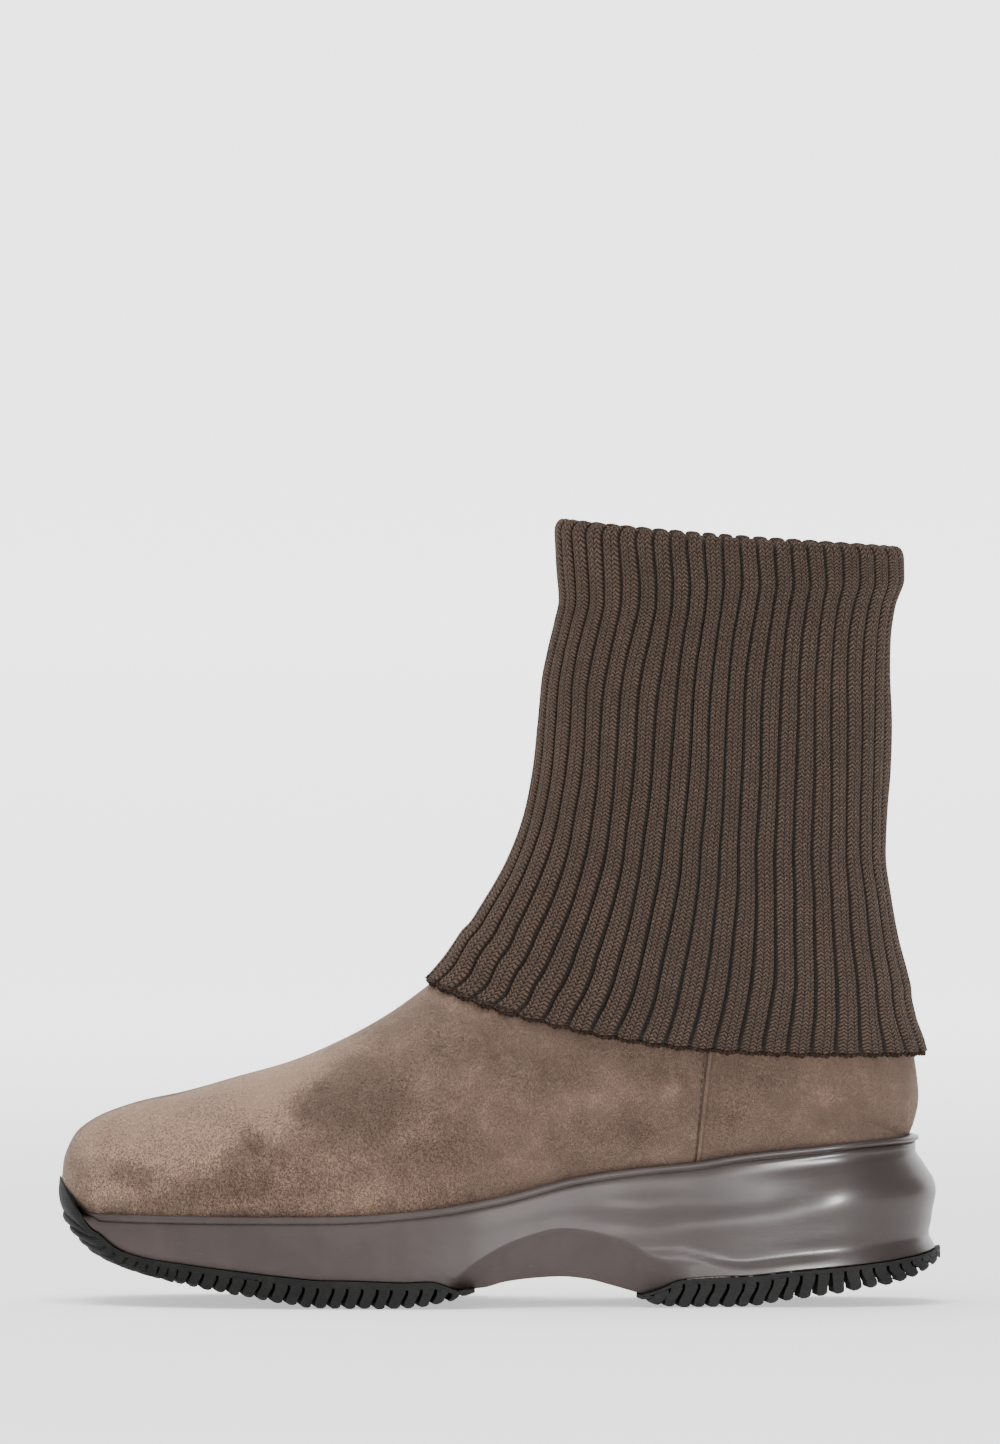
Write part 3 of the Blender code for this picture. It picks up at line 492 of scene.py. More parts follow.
# Fineness of the dressed pieces. RIB_COLUMNS are places across a rib, as shares of its pitch
SOLE_STEPS = 190
TREAD_ROWS = 90
ACROSS_STEPS = 26
SUEDE_COLUMNS = 110
SUEDE_BACK_ROWS = 16
UPPER_ARC_STEPS = 84
RIB_COLUMNS = (-0.5, -0.455, -0.405, -0.34, -0.25, -0.13, 0.0, 0.13, 0.25, 0.34, 0.405, 0.455)
SHAFT_ROWS = 104
SHAFT_TRACE = 480
FOLD_STEPS = 10
INSIDE_ROWS = 22


# Nodes
class Value:
    """A number in a material's nodes. Arithmetic on it adds Math nodes."""

    def __init__(self, tree, socket):
        self.tree = tree
        self.socket = socket

    def maths(self, operation, *items):
        node = self.tree.nodes.new("ShaderNodeMath")
        node.operation = operation
        for slot, item in zip(node.inputs, items):
            if isinstance(item, Value):
                self.tree.links.new(item.socket, slot)
            else:
                slot.default_value = item
        return Value(self.tree, node.outputs[0])

    def __add__(self, other):
        return self.maths("ADD", self, other)

    def __radd__(self, other):
        return self.maths("ADD", other, self)

    def __sub__(self, other):
        return self.maths("SUBTRACT", self, other)

    def __rsub__(self, other):
        return self.maths("SUBTRACT", other, self)

    def __mul__(self, other):
        return self.maths("MULTIPLY", self, other)

    def __rmul__(self, other):
        return self.maths("MULTIPLY", other, self)

    def __truediv__(self, other):
        return self.maths("DIVIDE", self, other)

    def __pow__(self, other):
        return self.maths("POWER", self, other)

    def __abs__(self):
        return self.maths("ABSOLUTE", self)

    def sine(self):
        return self.maths("SINE", self)

    def fraction(self):
        return self.maths("FRACT", self)

    def least(self, other):
        return self.maths("MINIMUM", self, other)

    def most(self, other):
        return self.maths("MAXIMUM", self, other)

    def fade(self, low, high):
        """Smooth step from 0 at low to 1 at high."""
        node = self.tree.nodes.new("ShaderNodeMapRange")
        node.interpolation_type = "SMOOTHSTEP"
        self.tree.links.new(self.socket, node.inputs["Value"])
        first, last = (low, high) if low < high else (high, low)
        node.inputs["From Min"].default_value = first
        node.inputs["From Max"].default_value = last
        node.inputs["To Min"].default_value = 0.0 if low < high else 1.0
        node.inputs["To Max"].default_value = 1.0 if low < high else 0.0
        return Value(self.tree, node.outputs["Result"])


def feed(tree, socket, item):
    """Gives a socket a value, or a link to a Value or to another socket."""
    if isinstance(item, Value):
        tree.links.new(item.socket, socket)
    elif isinstance(item, bpy.types.NodeSocket):
        tree.links.new(item, socket)
    else:
        socket.default_value = item


def add_node(tree, kind, settings=(), sockets=()):
    """Any node: its settings are set first, then its sockets are fed by name or number."""
    node = tree.nodes.new(kind)
    for name, setting in dict(settings).items():
        setattr(node, name, setting)
    for name, item in dict(sockets).items():
        feed(tree, node.inputs[name], item)
    return node


class Finish:
    """A material round one Principled shader."""

    def __init__(self, name, constants):
        self.material = bpy.data.materials.new(name)
        self.material.use_nodes = True
        self.tree = self.material.node_tree
        self.shader = self.tree.nodes["Principled BSDF"]
        for socket, constant in constants.items():
            self.shader.inputs[socket].default_value = constant
        place = self.node("ShaderNodeTexCoord")
        self.place = place.outputs["Object"]
        self.uv = place.outputs["UV"]

    def node(self, kind, settings=(), sockets=()):
        return add_node(self.tree, kind, settings, sockets)

    def value(self, socket):
        return Value(self.tree, socket)

    def axes(self, vector):
        split = self.node("ShaderNodeSeparateXYZ", sockets={"Vector": vector})
        return [self.value(split.outputs[axis]) for axis in "XYZ"]

    def stretched(self, scale, turn=(0.0, 0.0, 0.0)):
        return self.node("ShaderNodeMapping", sockets={
            "Vector": self.place, "Scale": scale, "Rotation": turn}).outputs["Vector"]

    def noise(self, scale, detail=2.0, rough=0.5, bend=0.0, vector=None):
        node = self.node("ShaderNodeTexNoise", sockets={
            "Vector": vector or self.place, "Scale": scale, "Detail": detail,
            "Roughness": rough, "Distortion": bend})
        return self.value(node.outputs["Fac"])

    def tint(self, share, first, second):
        """Colour between two others. Each may be a colour or a socket."""
        ends = [(*item, 1.0) if isinstance(item, tuple) else item for item in (first, second)]
        mixed = self.node("ShaderNodeMix", {"data_type": "RGBA"}, {0: share, 6: ends[0], 7: ends[1]})
        return mixed.outputs[2]

    def bump(self, height, depth, under=None):
        sockets = {"Height": height, "Distance": depth, "Strength": 1.0}
        if under is not None:
            sockets["Normal"] = under
        return self.node("ShaderNodeBump", sockets=sockets).outputs["Normal"]

    def set(self, **sockets):
        for name, item in sockets.items():
            feed(self.tree, self.shader.inputs[name.replace("_", " ")], item)
        return self.material


def blot(x, z, centre, reach, turn):
    """1 inside an oval patch of the boot's side, fading to 0 round it."""
    turn = math.radians(turn)
    right = (x - centre[0] * MM) * math.cos(turn) + (z - centre[1] * MM) * math.sin(turn)
    above = (z - centre[1] * MM) * math.cos(turn) - (x - centre[0] * MM) * math.sin(turn)
    span = (right / (reach[0] * MM)) ** 2.0 + (above / (reach[1] * MM)) ** 2.0
    return span.fade(1.0, 0.0)


# Colours, as linear red, green and blue
SUEDE_LIGHT = (0.430, 0.278, 0.194)
SUEDE_MID = (0.174, 0.111, 0.082)
SUEDE_DARK = (0.078, 0.046, 0.033)
KNIT_LIGHT = (0.248, 0.153, 0.104)
KNIT_MID = (0.084, 0.049, 0.033)
# The darkest knit colour is painted shade in the stitch gaps and rib valleys, and also the dark end of the hem
# yarn's fibres
KNIT_SHADE_AND_DARK_YARN = (0.010, 0.006, 0.004)
SHELL_COLOUR = (0.084, 0.0635, 0.0585)
SHELL_DARK = (0.068, 0.0515, 0.0475)
# Painted shade: the shell's colour darkens to this towards the heel, standing in for the shade on the heel
# block
SHELL_HEEL_SHADE = (0.036, 0.027, 0.025)
RUBBER_COLOUR = (0.0068, 0.0064, 0.0060)
RUBBER_WORN = (0.020, 0.019, 0.018)
# Darker and lighter patches on the outer side, in millimetres: centre x and z, reach, turn in
# degrees, strength
DARKER_PATCHES = (
    ((-75.5, 51.5), (4.5, 6.5), 12.0, 0.9),
    ((-58.0, 64.0), (7.0, 11.0), -25.0, 0.35),
    ((-112.0, 40.0), (9.0, 5.0), -8.0, 0.7),
    ((-84.0, 38.0), (24.0, 6.0), -6.0, 0.4),
    ((-42.0, 62.0), (20.0, 16.0), 30.0, 0.65),
    ((-20.0, 46.0), (34.0, 7.0), 10.0, 0.35),
    ((20.0, 72.0), (16.0, 8.0), -12.0, 0.30),
    ((44.0, 52.0), (10.0, 6.0), 8.0, 0.45),
    ((60.0, 58.0), (20.0, 5.0), 6.0, 0.25),
)
LIGHT_PATCHES = (
    ((-96.0, 58.0), (50.0, 23.0), 24.0, 1.15),
    ((-62.0, 76.0), (28.0, 12.0), 30.0, 0.80),
    ((-70.0, 58.0), (11.0, 12.0), 0.0, 0.60),
    ((-120.0, 34.0), (7.0, 6.0), 0.0, 0.5),
    ((-94.0, 40.0), (10.0, 4.0), 0.0, 0.3),
    ((-12.0, 92.0), (16.0, 5.0), -20.0, 0.35),
    ((28.0, 62.0), (12.0, 6.0), -20.0, 0.30),
    ((52.0, 66.0), (5.0, 5.0), 0.0, 0.35),
    ((90.0, 62.0), (18.0, 7.0), 0.0, 0.20),
)
# Seam between vamp and quarter: x at the rim and at the hem, in millimetres
SEAM_LOW = (59.3, 42.5)
SEAM_HIGH = (63.2, 78.0)


def suede_finish():
    suede = Finish("suede", {"Roughness": 0.95, "Specular IOR Level": 0.15, "Sheen Weight": 0.25,
                             "Sheen Roughness": 0.45, "Sheen Tint": (0.86, 0.74, 0.64, 1.0)})
    x, y, z = suede.axes(suede.place)
    broad = suede.noise(34.0, 3.0, 0.5, 0.5)
    middle = suede.noise(130.0, 2.0, 0.55, 0.6)
    worms = suede.noise(1.0, 2.0, 0.6, 1.2, suede.stretched((1900.0, 2600.0, 1500.0), (0.3, 0.6, 0.2)))
    specks = suede.noise(3000.0, 2.0, 0.6)
    shade = 0.395 + (broad - 0.5) * 0.68 + (middle - 0.5) * 0.40
    outer = y.fade(0.004, -0.004)
    for centre, reach, turn, strength in DARKER_PATCHES:
        shade = shade - blot(x, z, centre, reach, turn) * outer * (strength * 0.30)
    for centre, reach, turn, strength in LIGHT_PATCHES:
        shade = shade + blot(x, z, centre, reach, turn) * outer * (strength * 0.38)
    patchy = middle.fade(0.40, 0.60) * broad.fade(0.60, 0.44)
    front = x.fade(0.030, -0.060)
    hairs = worms.fade(0.46, 0.62)
    grain = (0.40 - hairs) * (0.16 + 0.16 * patchy + 0.24 * front) + (specks - 0.5) * (0.45 + 0.45 * front)
    tone = (shade + grain).least(1.0).most(0.0)
    low = suede.tint(tone.fade(0.0, 0.5), SUEDE_DARK, SUEDE_MID)
    colour = suede.tint(tone.fade(0.45, 1.0), low, SUEDE_LIGHT)
    slope = (SEAM_HIGH[0] - SEAM_LOW[0]) / (SEAM_HIGH[1] - SEAM_LOW[1])
    off = x - (z - SEAM_LOW[1] * MM) * slope - SEAM_LOW[0] * MM
    cut = abs(off).fade(0.00045, 0.00010)
    fold = abs(off - 0.0017).fade(0.0005, 0.0001) * 0.35
    strip = abs(off - 0.0009).fade(0.0009, 0.0004)
    colour = suede.tint(cut * 0.7 + fold, colour, (0.055, 0.033, 0.022))
    colour = suede.tint(strip * 0.12, colour, SUEDE_LIGHT)
    relief = strip * 0.5 - cut * 1.6 - fold
    coarse = suede.bump(middle * 0.6 + relief, 0.00035)
    fine = suede.bump(specks * 0.6 - hairs, 0.00018, coarse)
    return suede.set(Base_Color=colour, Normal=fine)


def lining_finish():
    lining = Finish("lining", {"Roughness": 0.85, "Specular IOR Level": 0.25})
    weave = lining.noise(1800.0, 2.0)
    cloud = lining.noise(60.0, 2.0)
    colour = lining.tint(cloud.fade(0.3, 0.7), (0.30, 0.235, 0.175), (0.36, 0.285, 0.215))
    return lining.set(Base_Color=colour, Normal=lining.bump(weave, 0.0001))


def shell_finish():
    shell = Finish("midsole_shell", {"Coat Roughness": 0.24, "IOR": 1.44, "Specular IOR Level": 0.30})
    x = shell.axes(shell.place)[0]
    cloud = shell.noise(45.0, 3.0, 0.55, 0.4)
    drag = shell.noise(1.0, 4.0, 0.65, 0.3, shell.stretched((160.0, 160.0, 900.0)))
    pits = shell.noise(1500.0, 2.0)
    colour = shell.tint(cloud.fade(0.35, 0.7), SHELL_DARK, SHELL_COLOUR)
    polish = x.fade(0.060, 0.092)
    # Painted shade: darker towards the heel, standing in for the shade that falls on the heel block
    colour = shell.tint(x.fade(0.020, 0.110) * 0.60, colour, SHELL_HEEL_SHADE)
    scuffs = drag.fade(0.66, 0.78) * 0.25
    colour = shell.tint(scuffs, colour, (0.24, 0.205, 0.195))
    rough = 0.62 - polish * 0.22 + cloud * 0.08 + scuffs * 0.25
    wavy = shell.bump(shell.noise(70.0, 2.0, 0.4), 0.0003)
    skin = shell.bump(pits * 0.5 + drag, 0.00004, wavy)
    return shell.set(Base_Color=colour, Roughness=rough, Coat_Weight=0.03 + polish * 0.24, Normal=skin)


def rubber_finish():
    rubber = Finish("tread_rubber", {"Specular IOR Level": 0.24})
    z = rubber.axes(rubber.place)[2]
    cloud = rubber.noise(90.0, 3.0, 0.6, 0.4)
    dust = rubber.noise(700.0, 3.0, 0.65)
    lines = ((z * 2600.0 + cloud * 3.0) * (2.0 * math.pi / 1.3)).sine() * 0.5 + 0.5
    worn = cloud.fade(0.35, 0.75) * 0.5 + dust.fade(0.6, 0.8) * 0.35
    colour = rubber.tint(worn, RUBBER_COLOUR, RUBBER_WORN)
    return rubber.set(Base_Color=colour, Roughness=0.70 + dust * 0.2,
                      Normal=rubber.bump(lines * 0.5 + dust * 0.7, 0.00014))


def knit_finish():
    """Stitches of three wales a rib, read from the map: one unit is a rib across and a course along."""
    knit = Finish("rib_knit", {"Roughness": 0.92, "Specular IOR Level": 0.2, "Sheen Weight": 0.15,
                               "Sheen Roughness": 0.5, "Sheen Tint": (0.80, 0.66, 0.56, 1.0)})
    across, along_rib = knit.axes(knit.uv)[:2]
    wander = knit.noise(300.0, 2.0, 0.5) - 0.5
    rib = (across + 0.5 + wander * 0.04).fraction()
    reach = abs(rib - 0.5)
    near_hem = along_rib.fade(60.0, 4.0)
    face = (reach + near_hem * 0.04).fade(0.465, 0.425)
    wale = ((rib - 0.08) * (WALES / 0.84)).fraction()
    leg = abs(wale - 0.5) * 2.0
    course = (along_rib + leg * 0.80 + wander * 0.5).fraction()
    strand = (course * math.pi).sine().most(0.0) ** 1.6
    plump = leg.fade(1.0, 0.70) * (0.75 + 0.25 * leg.fade(0.0, 0.25))
    stitch = (strand * 0.85 + 0.15) * (plump * 0.70 + 0.30)
    purl = (((along_rib + wander) * 2.0 * math.pi).sine() * 0.5 + 0.5) * (1.0 - face)
    height = stitch * face + purl * 0.40
    fibre = knit.noise(1.0, 3.0, 0.7, 0.6, knit.stretched((2600.0, 2600.0, 1500.0)))
    cloud = knit.noise(70.0, 3.0, 0.6)
    light = (fibre.fade(0.38, 0.74) * 0.8 + (cloud - 0.5) * 0.5).least(1.0).most(0.0)
    yarn = knit.tint(light, KNIT_MID, KNIT_LIGHT)
    # Painted shade: the colour darkens where the stitches leave gaps
    colour = knit.tint(height.fade(0.14, 0.80), KNIT_SHADE_AND_DARK_YARN, yarn)
    # Painted shade: the colour darkens in the valleys between the ribs
    valley = (reach + near_hem * 0.02).fade(0.49, 0.41)
    colour = knit.tint(0.12 + valley * 0.88, KNIT_SHADE_AND_DARK_YARN, colour)
    soft = knit.bump(height, 0.0009)
    return knit.set(Base_Color=colour, Normal=knit.bump(fibre, 0.00018, soft))


def thread_finish(name, colour):
    """Plain matt thread."""
    thread = Finish(name, {"Roughness": 0.75, "Specular IOR Level": 0.3})
    fibre = thread.noise(3000.0, 2.0)
    shade = thread.tint(fibre.fade(0.3, 0.8), colour, tuple(min(c * 1.9, 1.0) for c in colour))
    return thread.set(Base_Color=shade, Normal=thread.bump(fibre, 0.0001))


def yarn_finish():
    yarn = Finish("hem_yarn", {"Roughness": 0.95, "Specular IOR Level": 0.1})
    fibre = yarn.noise(1500.0, 3.0, 0.7)
    colour = yarn.tint(fibre.fade(0.35, 0.75), KNIT_SHADE_AND_DARK_YARN, KNIT_MID)
    return yarn.set(Base_Color=colour, Normal=yarn.bump(fibre, 0.0003))


def cement_finish():
    cement = Finish("cement_trace", {"Roughness": 0.6})
    grain = cement.noise(1400.0, 3.0)
    colour = cement.tint(grain.fade(0.35, 0.65), (0.10, 0.075, 0.05), (0.46, 0.38, 0.28))
    return cement.set(Base_Color=colour, Normal=cement.bump(grain, 0.0002))


# Meshes
def skin_mesh(name, points, faces, finishes, marks=None):
    """Object from lofted faces. marks holds each face's corners on the map."""
    data = bpy.data.meshes.new(name)
    data.from_pydata([tuple(point) for point in points], [], faces)
    if marks is not None:
        layer = data.uv_layers.new(name="UVMap")
        flat = np.array([corner for face in marks for corner in face], dtype=np.float32)
        layer.data.foreach_set("uv", flat.ravel())
    mesh = bmesh.new()
    mesh.from_mesh(data)
    bmesh.ops.remove_doubles(mesh, verts=mesh.verts, dist=1e-6)
    bmesh.ops.recalc_face_normals(mesh, faces=mesh.faces)
    mesh.to_mesh(data)
    mesh.free()
    data.polygons.foreach_set("use_smooth", [True] * len(data.polygons))
    for finish in finishes:
        data.materials.append(finish)
    piece = bpy.data.objects.new(name, data)
    bpy.context.scene.collection.objects.link(piece)
    return piece


def dressed(piece, slot, *nodes):
    """A finished piece rides on the boot and stands for the solids named."""
    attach(piece, "root")
    if nodes:
        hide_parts(*nodes)
    return piece


def ring_faces(rings, size):
    faces = []
    for ring in range(rings - 1):
        for i in range(size):
            j = (i + 1) % size
            low = ring * size
            faces.append((low + i, low + j, low + size + j, low + size + i))
    return faces


def plan_cap(start, steps):
    """Strips across a loop that runs toe tip, outer side, heel tip, inner side."""
    size = 2 * steps
    faces = [(start, start + 1, start + size - 1)]
    for i in range(1, steps - 1):
        faces.append((start + i, start + i + 1, start + size - i - 1, start + size - i))
    faces.append((start + steps - 1, start + steps, start + steps + 1))
    return faces


def plan_loop(steps, place):
    turns = [i / steps for i in range(steps + 1)]
    loop = [place(turn, -1.0) for turn in turns]
    loop += [place(turn, 1.0) for turn in reversed(turns[1:-1])]
    return loop


# Moulded midsole. Its rim in section: inset from the rim's outline and drop as a share of the band
RIM_SECTION = (
    (0.00002, 1.06),
    (0.00038, 1.02),
    (0.00038, 0.95),
    (-0.00005, 0.90),
    (-0.00030, 0.78),
    (-0.00045, 0.58),
    (-0.00042, 0.38),
    (-0.00022, 0.18),
    (0.00015, 0.05),
    (0.00060, 0.00),
    (0.00130, 0.00),
    (0.00160, 0.06),
)
RIM_SHARE = 0.8
REAR_BEAD = 1.3
# Rows of the side wall below and above the arch's crease
BELOW_CREASE = 11
ABOVE_CREASE = 20
LEAST_WALL = 0.0005
# Forms of the side wall: hollow behind the arch, flare over the heel's tread, and bands round the heel,
# each band with its height, reach and depth
SWOOP_DEPTH = 0.0011
SWOOP_HEIGHT = 0.74
SWOOP_REACH = 0.12
FLARE_RISE = 0.0008
REAR_SWELL = 0.0010
REAR_BANDS = ((0.92, 0.07, 1.3), (0.60, 0.15, -0.9), (0.17, 0.07, 0.7))


def hump(height, middle, reach):
    return math.exp(-((height - middle) / reach) ** 2)


def wall_inset(station, height):
    """Inset of the side wall, with the sharper creases and the soft swoop of the real moulding."""
    share = mix(WALL.at("fore", height), WALL.at("heel", height), heel_share(station))
    crease = SCOOP.at("crease", station)
    depth = max(1.0 - height / max(crease, 0.02), 0.0)
    hollow = blend(0.02, 0.30, crease) * (depth ** 1.1 * 0.80 + blend(0.0, 0.10, depth) * 0.06)
    hollow *= 1.0 - 0.55 * blend(0.58, 0.69, station)
    swoop = blend(0.56, 0.70, station) * (1.0 - blend(0.80, 0.90, station))
    band = hump(height, SWOOP_HEIGHT - 0.10 * blend(0.6, 0.8, station), SWOOP_REACH)
    flare = blend(0.63, 0.68, station) * (1.0 - blend(0.80, 0.90, station))
    edge = mix(0.40, 0.14, blend(0.645, 0.78, station))
    lip = blend(edge, edge - 0.09, height) if height < edge else 0.0
    inset = share * rim_inset(station) + hollow * ARCH_UNDERCUT
    inset += swoop * band * SWOOP_DEPTH - flare * lip * FLARE_RISE
    rear = blend(0.74, 0.90, station)
    waist = sum(depth * hump(height, middle, reach) for middle, reach, depth in REAR_BANDS)
    return inset + rear * waist * REAR_SWELL


def wall_levels(station):
    crease = max(SCOOP.at("crease", station), 0.16)
    below = [mix(0.0, crease, i / BELOW_CREASE) for i in range(BELOW_CREASE)]
    return below + [mix(crease, 1.0, i / ABOVE_CREASE) for i in range(ABOVE_CREASE)]


def dress_midsole(shell):
    def side_low(station):
        return bond_edge(station) + FIT_GAP

    def band(station):
        return min(RIM_SHARE * RIM_BAND, 0.5 * (rim_height(station) - side_low(station)))

    def wall_point(level):
        def place(turn, side):
            station = station_of(turn)
            height = wall_levels(station)[level]
            inset = mix(RIM_INSET_TOE, wall_inset(station, height), blend(0.0, 0.035, station))
            x, y = inset_point(turn, side, inset)
            top = rim_height(station) - 1.1 * band(station)
            low = side_low(x / SOLE_LENGTH + 0.5)
            return (x, y, mix(low, max(top, low + LEAST_WALL), height))
        return place

    def rim_point(inset, drop):
        def place(turn, side):
            station = station_of(turn)
            bead = inset * (1.0 + REAR_BEAD * blend(0.72, 0.90, station))
            x, y = inset_point(turn, side, rim_inset(station) + bead)
            return (x, y, rim_height(station) - drop * band(station))
        return place

    def cup_floor(turn, side):
        station = station_of(turn)
        x, y = inset_point(turn, side, rim_inset(station) + RIM_LIP)
        return (x, y, rim_height(station) - CUP_DEPTH)

    makers = [wall_point(level) for level in range(BELOW_CREASE + ABOVE_CREASE)]
    makers += [rim_point(inset, drop) for inset, drop in RIM_SECTION]
    makers.append(cup_floor)
    size = 2 * SOLE_STEPS
    points = []
    for maker in makers:
        points += plan_loop(SOLE_STEPS, maker)
    faces = ring_faces(len(makers), size)
    faces += plan_cap((len(makers) - 1) * size, SOLE_STEPS)
    faces += plan_cap(0, SOLE_STEPS)
    return dressed(skin_mesh("moulded_midsole", points, faces, [shell]), "midsole_shell", "midsole")


# Treads. Places along a tread are lengths from its front end; depths run inwards from its outer face
GROOVE_LAND = 0.0006
GROOVE_LIMIT = 0.0072
LEAST_GROOVE = 0.0004
GROOVE_GROWTH = 2.5 * BAR_PITCH
FORE_START = 0.010
FORE_SHARE = 0.80
FORE_LEAN = -0.0015
HEEL_SHARE = 0.92
HEEL_LEANS = (-0.0022, 0.0026)
HEEL_TIP = 0.9985
HEEL_SHORT = 0.0006
# Small lugs that run on into the arch
LUG_DROP = 0.0016
LUG_RUN = 0.0048
LUG_ROOT = 0.0004
# Bars: gaps, unevenness, and the section's corner, root, crown, foot and rows as shares of the groove
BAR_GAP = 0.0008
TOE_GAP = 0.0016
TOE_GAP_RUN = (0.015, 0.055)
PITCH_LINE = -0.8
BAR_JITTER = 0.06
BAR_TRIMS = (0.0009, 0.0002, 0.0006, 0.0001, 0.0008)
BAR_CORNER = 0.0009
BAR_ROOT = 0.0006
BAR_CROWN = 0.00005
BAR_FOOT = 0.86
BAR_ROWS = (0.84, 0.66, 0.46, 0.26)
SHARP_EDGE = math.radians(50.0)

FANS = np.linspace(0.0, 1.0, 161)
FAN_SECTIONS = [bumper_section(fan) for fan in FANS]
FAN_WALK = np.concatenate(([0.0], np.cumsum([
    math.hypot(after[2] - before[2], after[3] - before[3])
    for before, after in zip(FAN_SECTIONS[:-1], FAN_SECTIONS[1:])])))
FLAT_START = float(BUMPER.values[-1, 1])
FLAT_LEAN = BUMPER.at("lean", 1.0) * math.pi / 2.0


def forefoot_section(place):
    if place < FAN_WALK[-1]:
        return bumper_section(float(np.interp(place, FAN_WALK, FANS)))
    station = FLAT_START + (place - FAN_WALK[-1]) / SOLE_LENGTH
    if station > ARCH_START:
        low = bond_edge(station) - LUG_DROP
        return station, low, along(station), low, 0.0, LUG_DROP + LUG_ROOT
    low = fore_bottom(station)
    lean = FLAT_LEAN * (1.0 - blend(FLAT_START, FLAT_START + 0.05, station))
    return station, low, along(station), low, lean, bond_edge(station) - low


def heel_section(place):
    station = min(ARCH_END + 1e-5 + place / SOLE_LENGTH, HEEL_TIP)
    low = heel_bottom(station)
    return station, low, along(station), low, 0.0, bond_edge(station) - low


def tread_point(section, t, depth, sway):
    """Point of the tread: t runs -1 to 1 from the outer to the inner edge."""
    edge, low, middle, high, lean, full = section
    round_off = end_round(edge)
    x_edge = along(edge)
    if x_edge < along(TOE_ROUND / SOLE_LENGTH):
        share = abs(t) * round_off
        back = TOE_ROUND * (1.0 - (1.0 - min(share, 1.0) ** END_SQUARENESS) ** (1.0 / END_SQUARENESS))
        share = min(back / max(x_edge + SOLE_LENGTH / 2.0, 1e-6), 1.0)
    else:
        share = abs(t) ** 2
    forward = math.sin(lean)
    x = mix(middle, x_edge, share) + forward * depth
    z = mix(high, low, share) + math.cos(lean) * depth
    wide = half_plan(min(max((x_edge + forward * depth) / SOLE_LENGTH + 0.5, 0.0), 1.0))
    half = mix(half_plan(edge), wide, t * t)
    x += sway * (math.cos(2.0 * math.pi * t) - 1.0) / 2.0
    return (x, swing(x) + t * half, z)


def across_share(step):
    """Steps across a tread lie closer together at its edges."""
    return math.sin((step / ACROSS_STEPS - 0.5) * math.pi)


def tread_base(section_of, length, groove_of):
    """Solid strip that carries the bars: its outer face lies at the grooves' depth."""
    points = []
    places = np.linspace(0.0, length, TREAD_ROWS)
    for place in places:
        section = section_of(place)
        cut = groove_of(place, section[5])
        outer = [tread_point(section, across_share(i), cut, 0.0) for i in range(ACROSS_STEPS + 1)]
        inner = [tread_point(section, across_share(i), section[5], 0.0) for i in range(ACROSS_STEPS + 1)]
        points += outer + inner[::-1]
    size = 2 * (ACROSS_STEPS + 1)
    faces = ring_faces(len(places), size)
    faces.append(tuple(range(size)))
    faces.append(tuple(range(len(points) - size, len(points))))
    return points, faces


def bar_outline(half, groove, lean):
    """Section of one bar as (place, depth), from its front root round its foot to its back root."""
    corner = min(BAR_CORNER, 0.45 * half)
    depths = [groove + BAR_ROOT] + [share * groove for share in BAR_ROWS] + [0.6 * corner]

    def shift(depth):
        fall = 1.0 - min(depth / groove, 1.0)
        return lean * blend(0.12, 0.90, fall)

    def wide(depth):
        return half * mix(BAR_FOOT, 1.0, min(depth / groove, 1.0))

    front = [(-wide(depth) + shift(depth), depth) for depth in depths]
    reach = wide(0.0) - corner
    foot = [(-reach + shift(0.0), 0.0), (shift(0.0), -BAR_CROWN), (reach + shift(0.0), 0.0)]
    back = [(wide(depth) + shift(depth), depth) for depth in reversed(depths)]
    return front + foot + back


def bar_places(section_of, length, start):
    """Middle and half width of each bar, so spaced that the bars lie a pitch apart near the sole's edge."""
    places = np.linspace(start, length, 400)
    edge = np.array([tread_point(section_of(place), PITCH_LINE, 0.0, 0.0) for place in places])
    walk = np.concatenate(([0.0], np.cumsum(np.linalg.norm(np.diff(edge, axis=0), axis=1))))
    bars = []
    at = 0.0
    while at + 0.5 * BAR_PITCH < walk[-1]:
        jitter = BAR_JITTER * math.sin(2.4 * len(bars)) * BAR_PITCH
        here = float(np.interp(at, walk, places))
        gap = mix(TOE_GAP, BAR_GAP, blend(*TOE_GAP_RUN, here)) if start > 0.0 else BAR_GAP
        first = float(np.interp(at + 0.5 * gap, walk, places))
        last = float(np.interp(at + BAR_PITCH - 0.5 * gap + jitter, walk, places))
        bars.append((0.5 * (first + last), 0.5 * (last - first)))
        at += BAR_PITCH + jitter
    return bars


def tread_bars(section_of, length, start, groove_of, lean_of, sway_of):
    """All bars of a tread, each a closed S-shaped lug that runs from side to side."""
    points = []
    faces = []
    for count, (middle, half) in enumerate(bar_places(section_of, length, start)):
        section = section_of(middle)
        groove = groove_of(middle, section[5])
        if groove > LEAST_GROOVE:
            outline = bar_outline(half, groove, lean_of(middle))
            first = len(points)
            trim = BAR_TRIMS[count % len(BAR_TRIMS)]
            for i in range(ACROSS_STEPS + 1):
                t = across_share(i)
                edge = blend(0.90, 1.0, abs(t))
                for offset, depth in outline:
                    here = min(max(middle + offset, 0.0), length)
                    near = section_of(here)
                    sunk = depth + trim * edge * max(1.0 - depth / groove, 0.0)
                    points.append(tread_point(near, t, min(sunk, near[5] * 0.96), sway_of(middle)))
            size = len(outline)
            faces += [tuple(first + n for n in face) for face in ring_faces(ACROSS_STEPS + 1, size)]
            faces.append(tuple(first + n for n in range(size)))
            faces.append(tuple(len(points) - size + n for n in range(size)))
    return points, faces


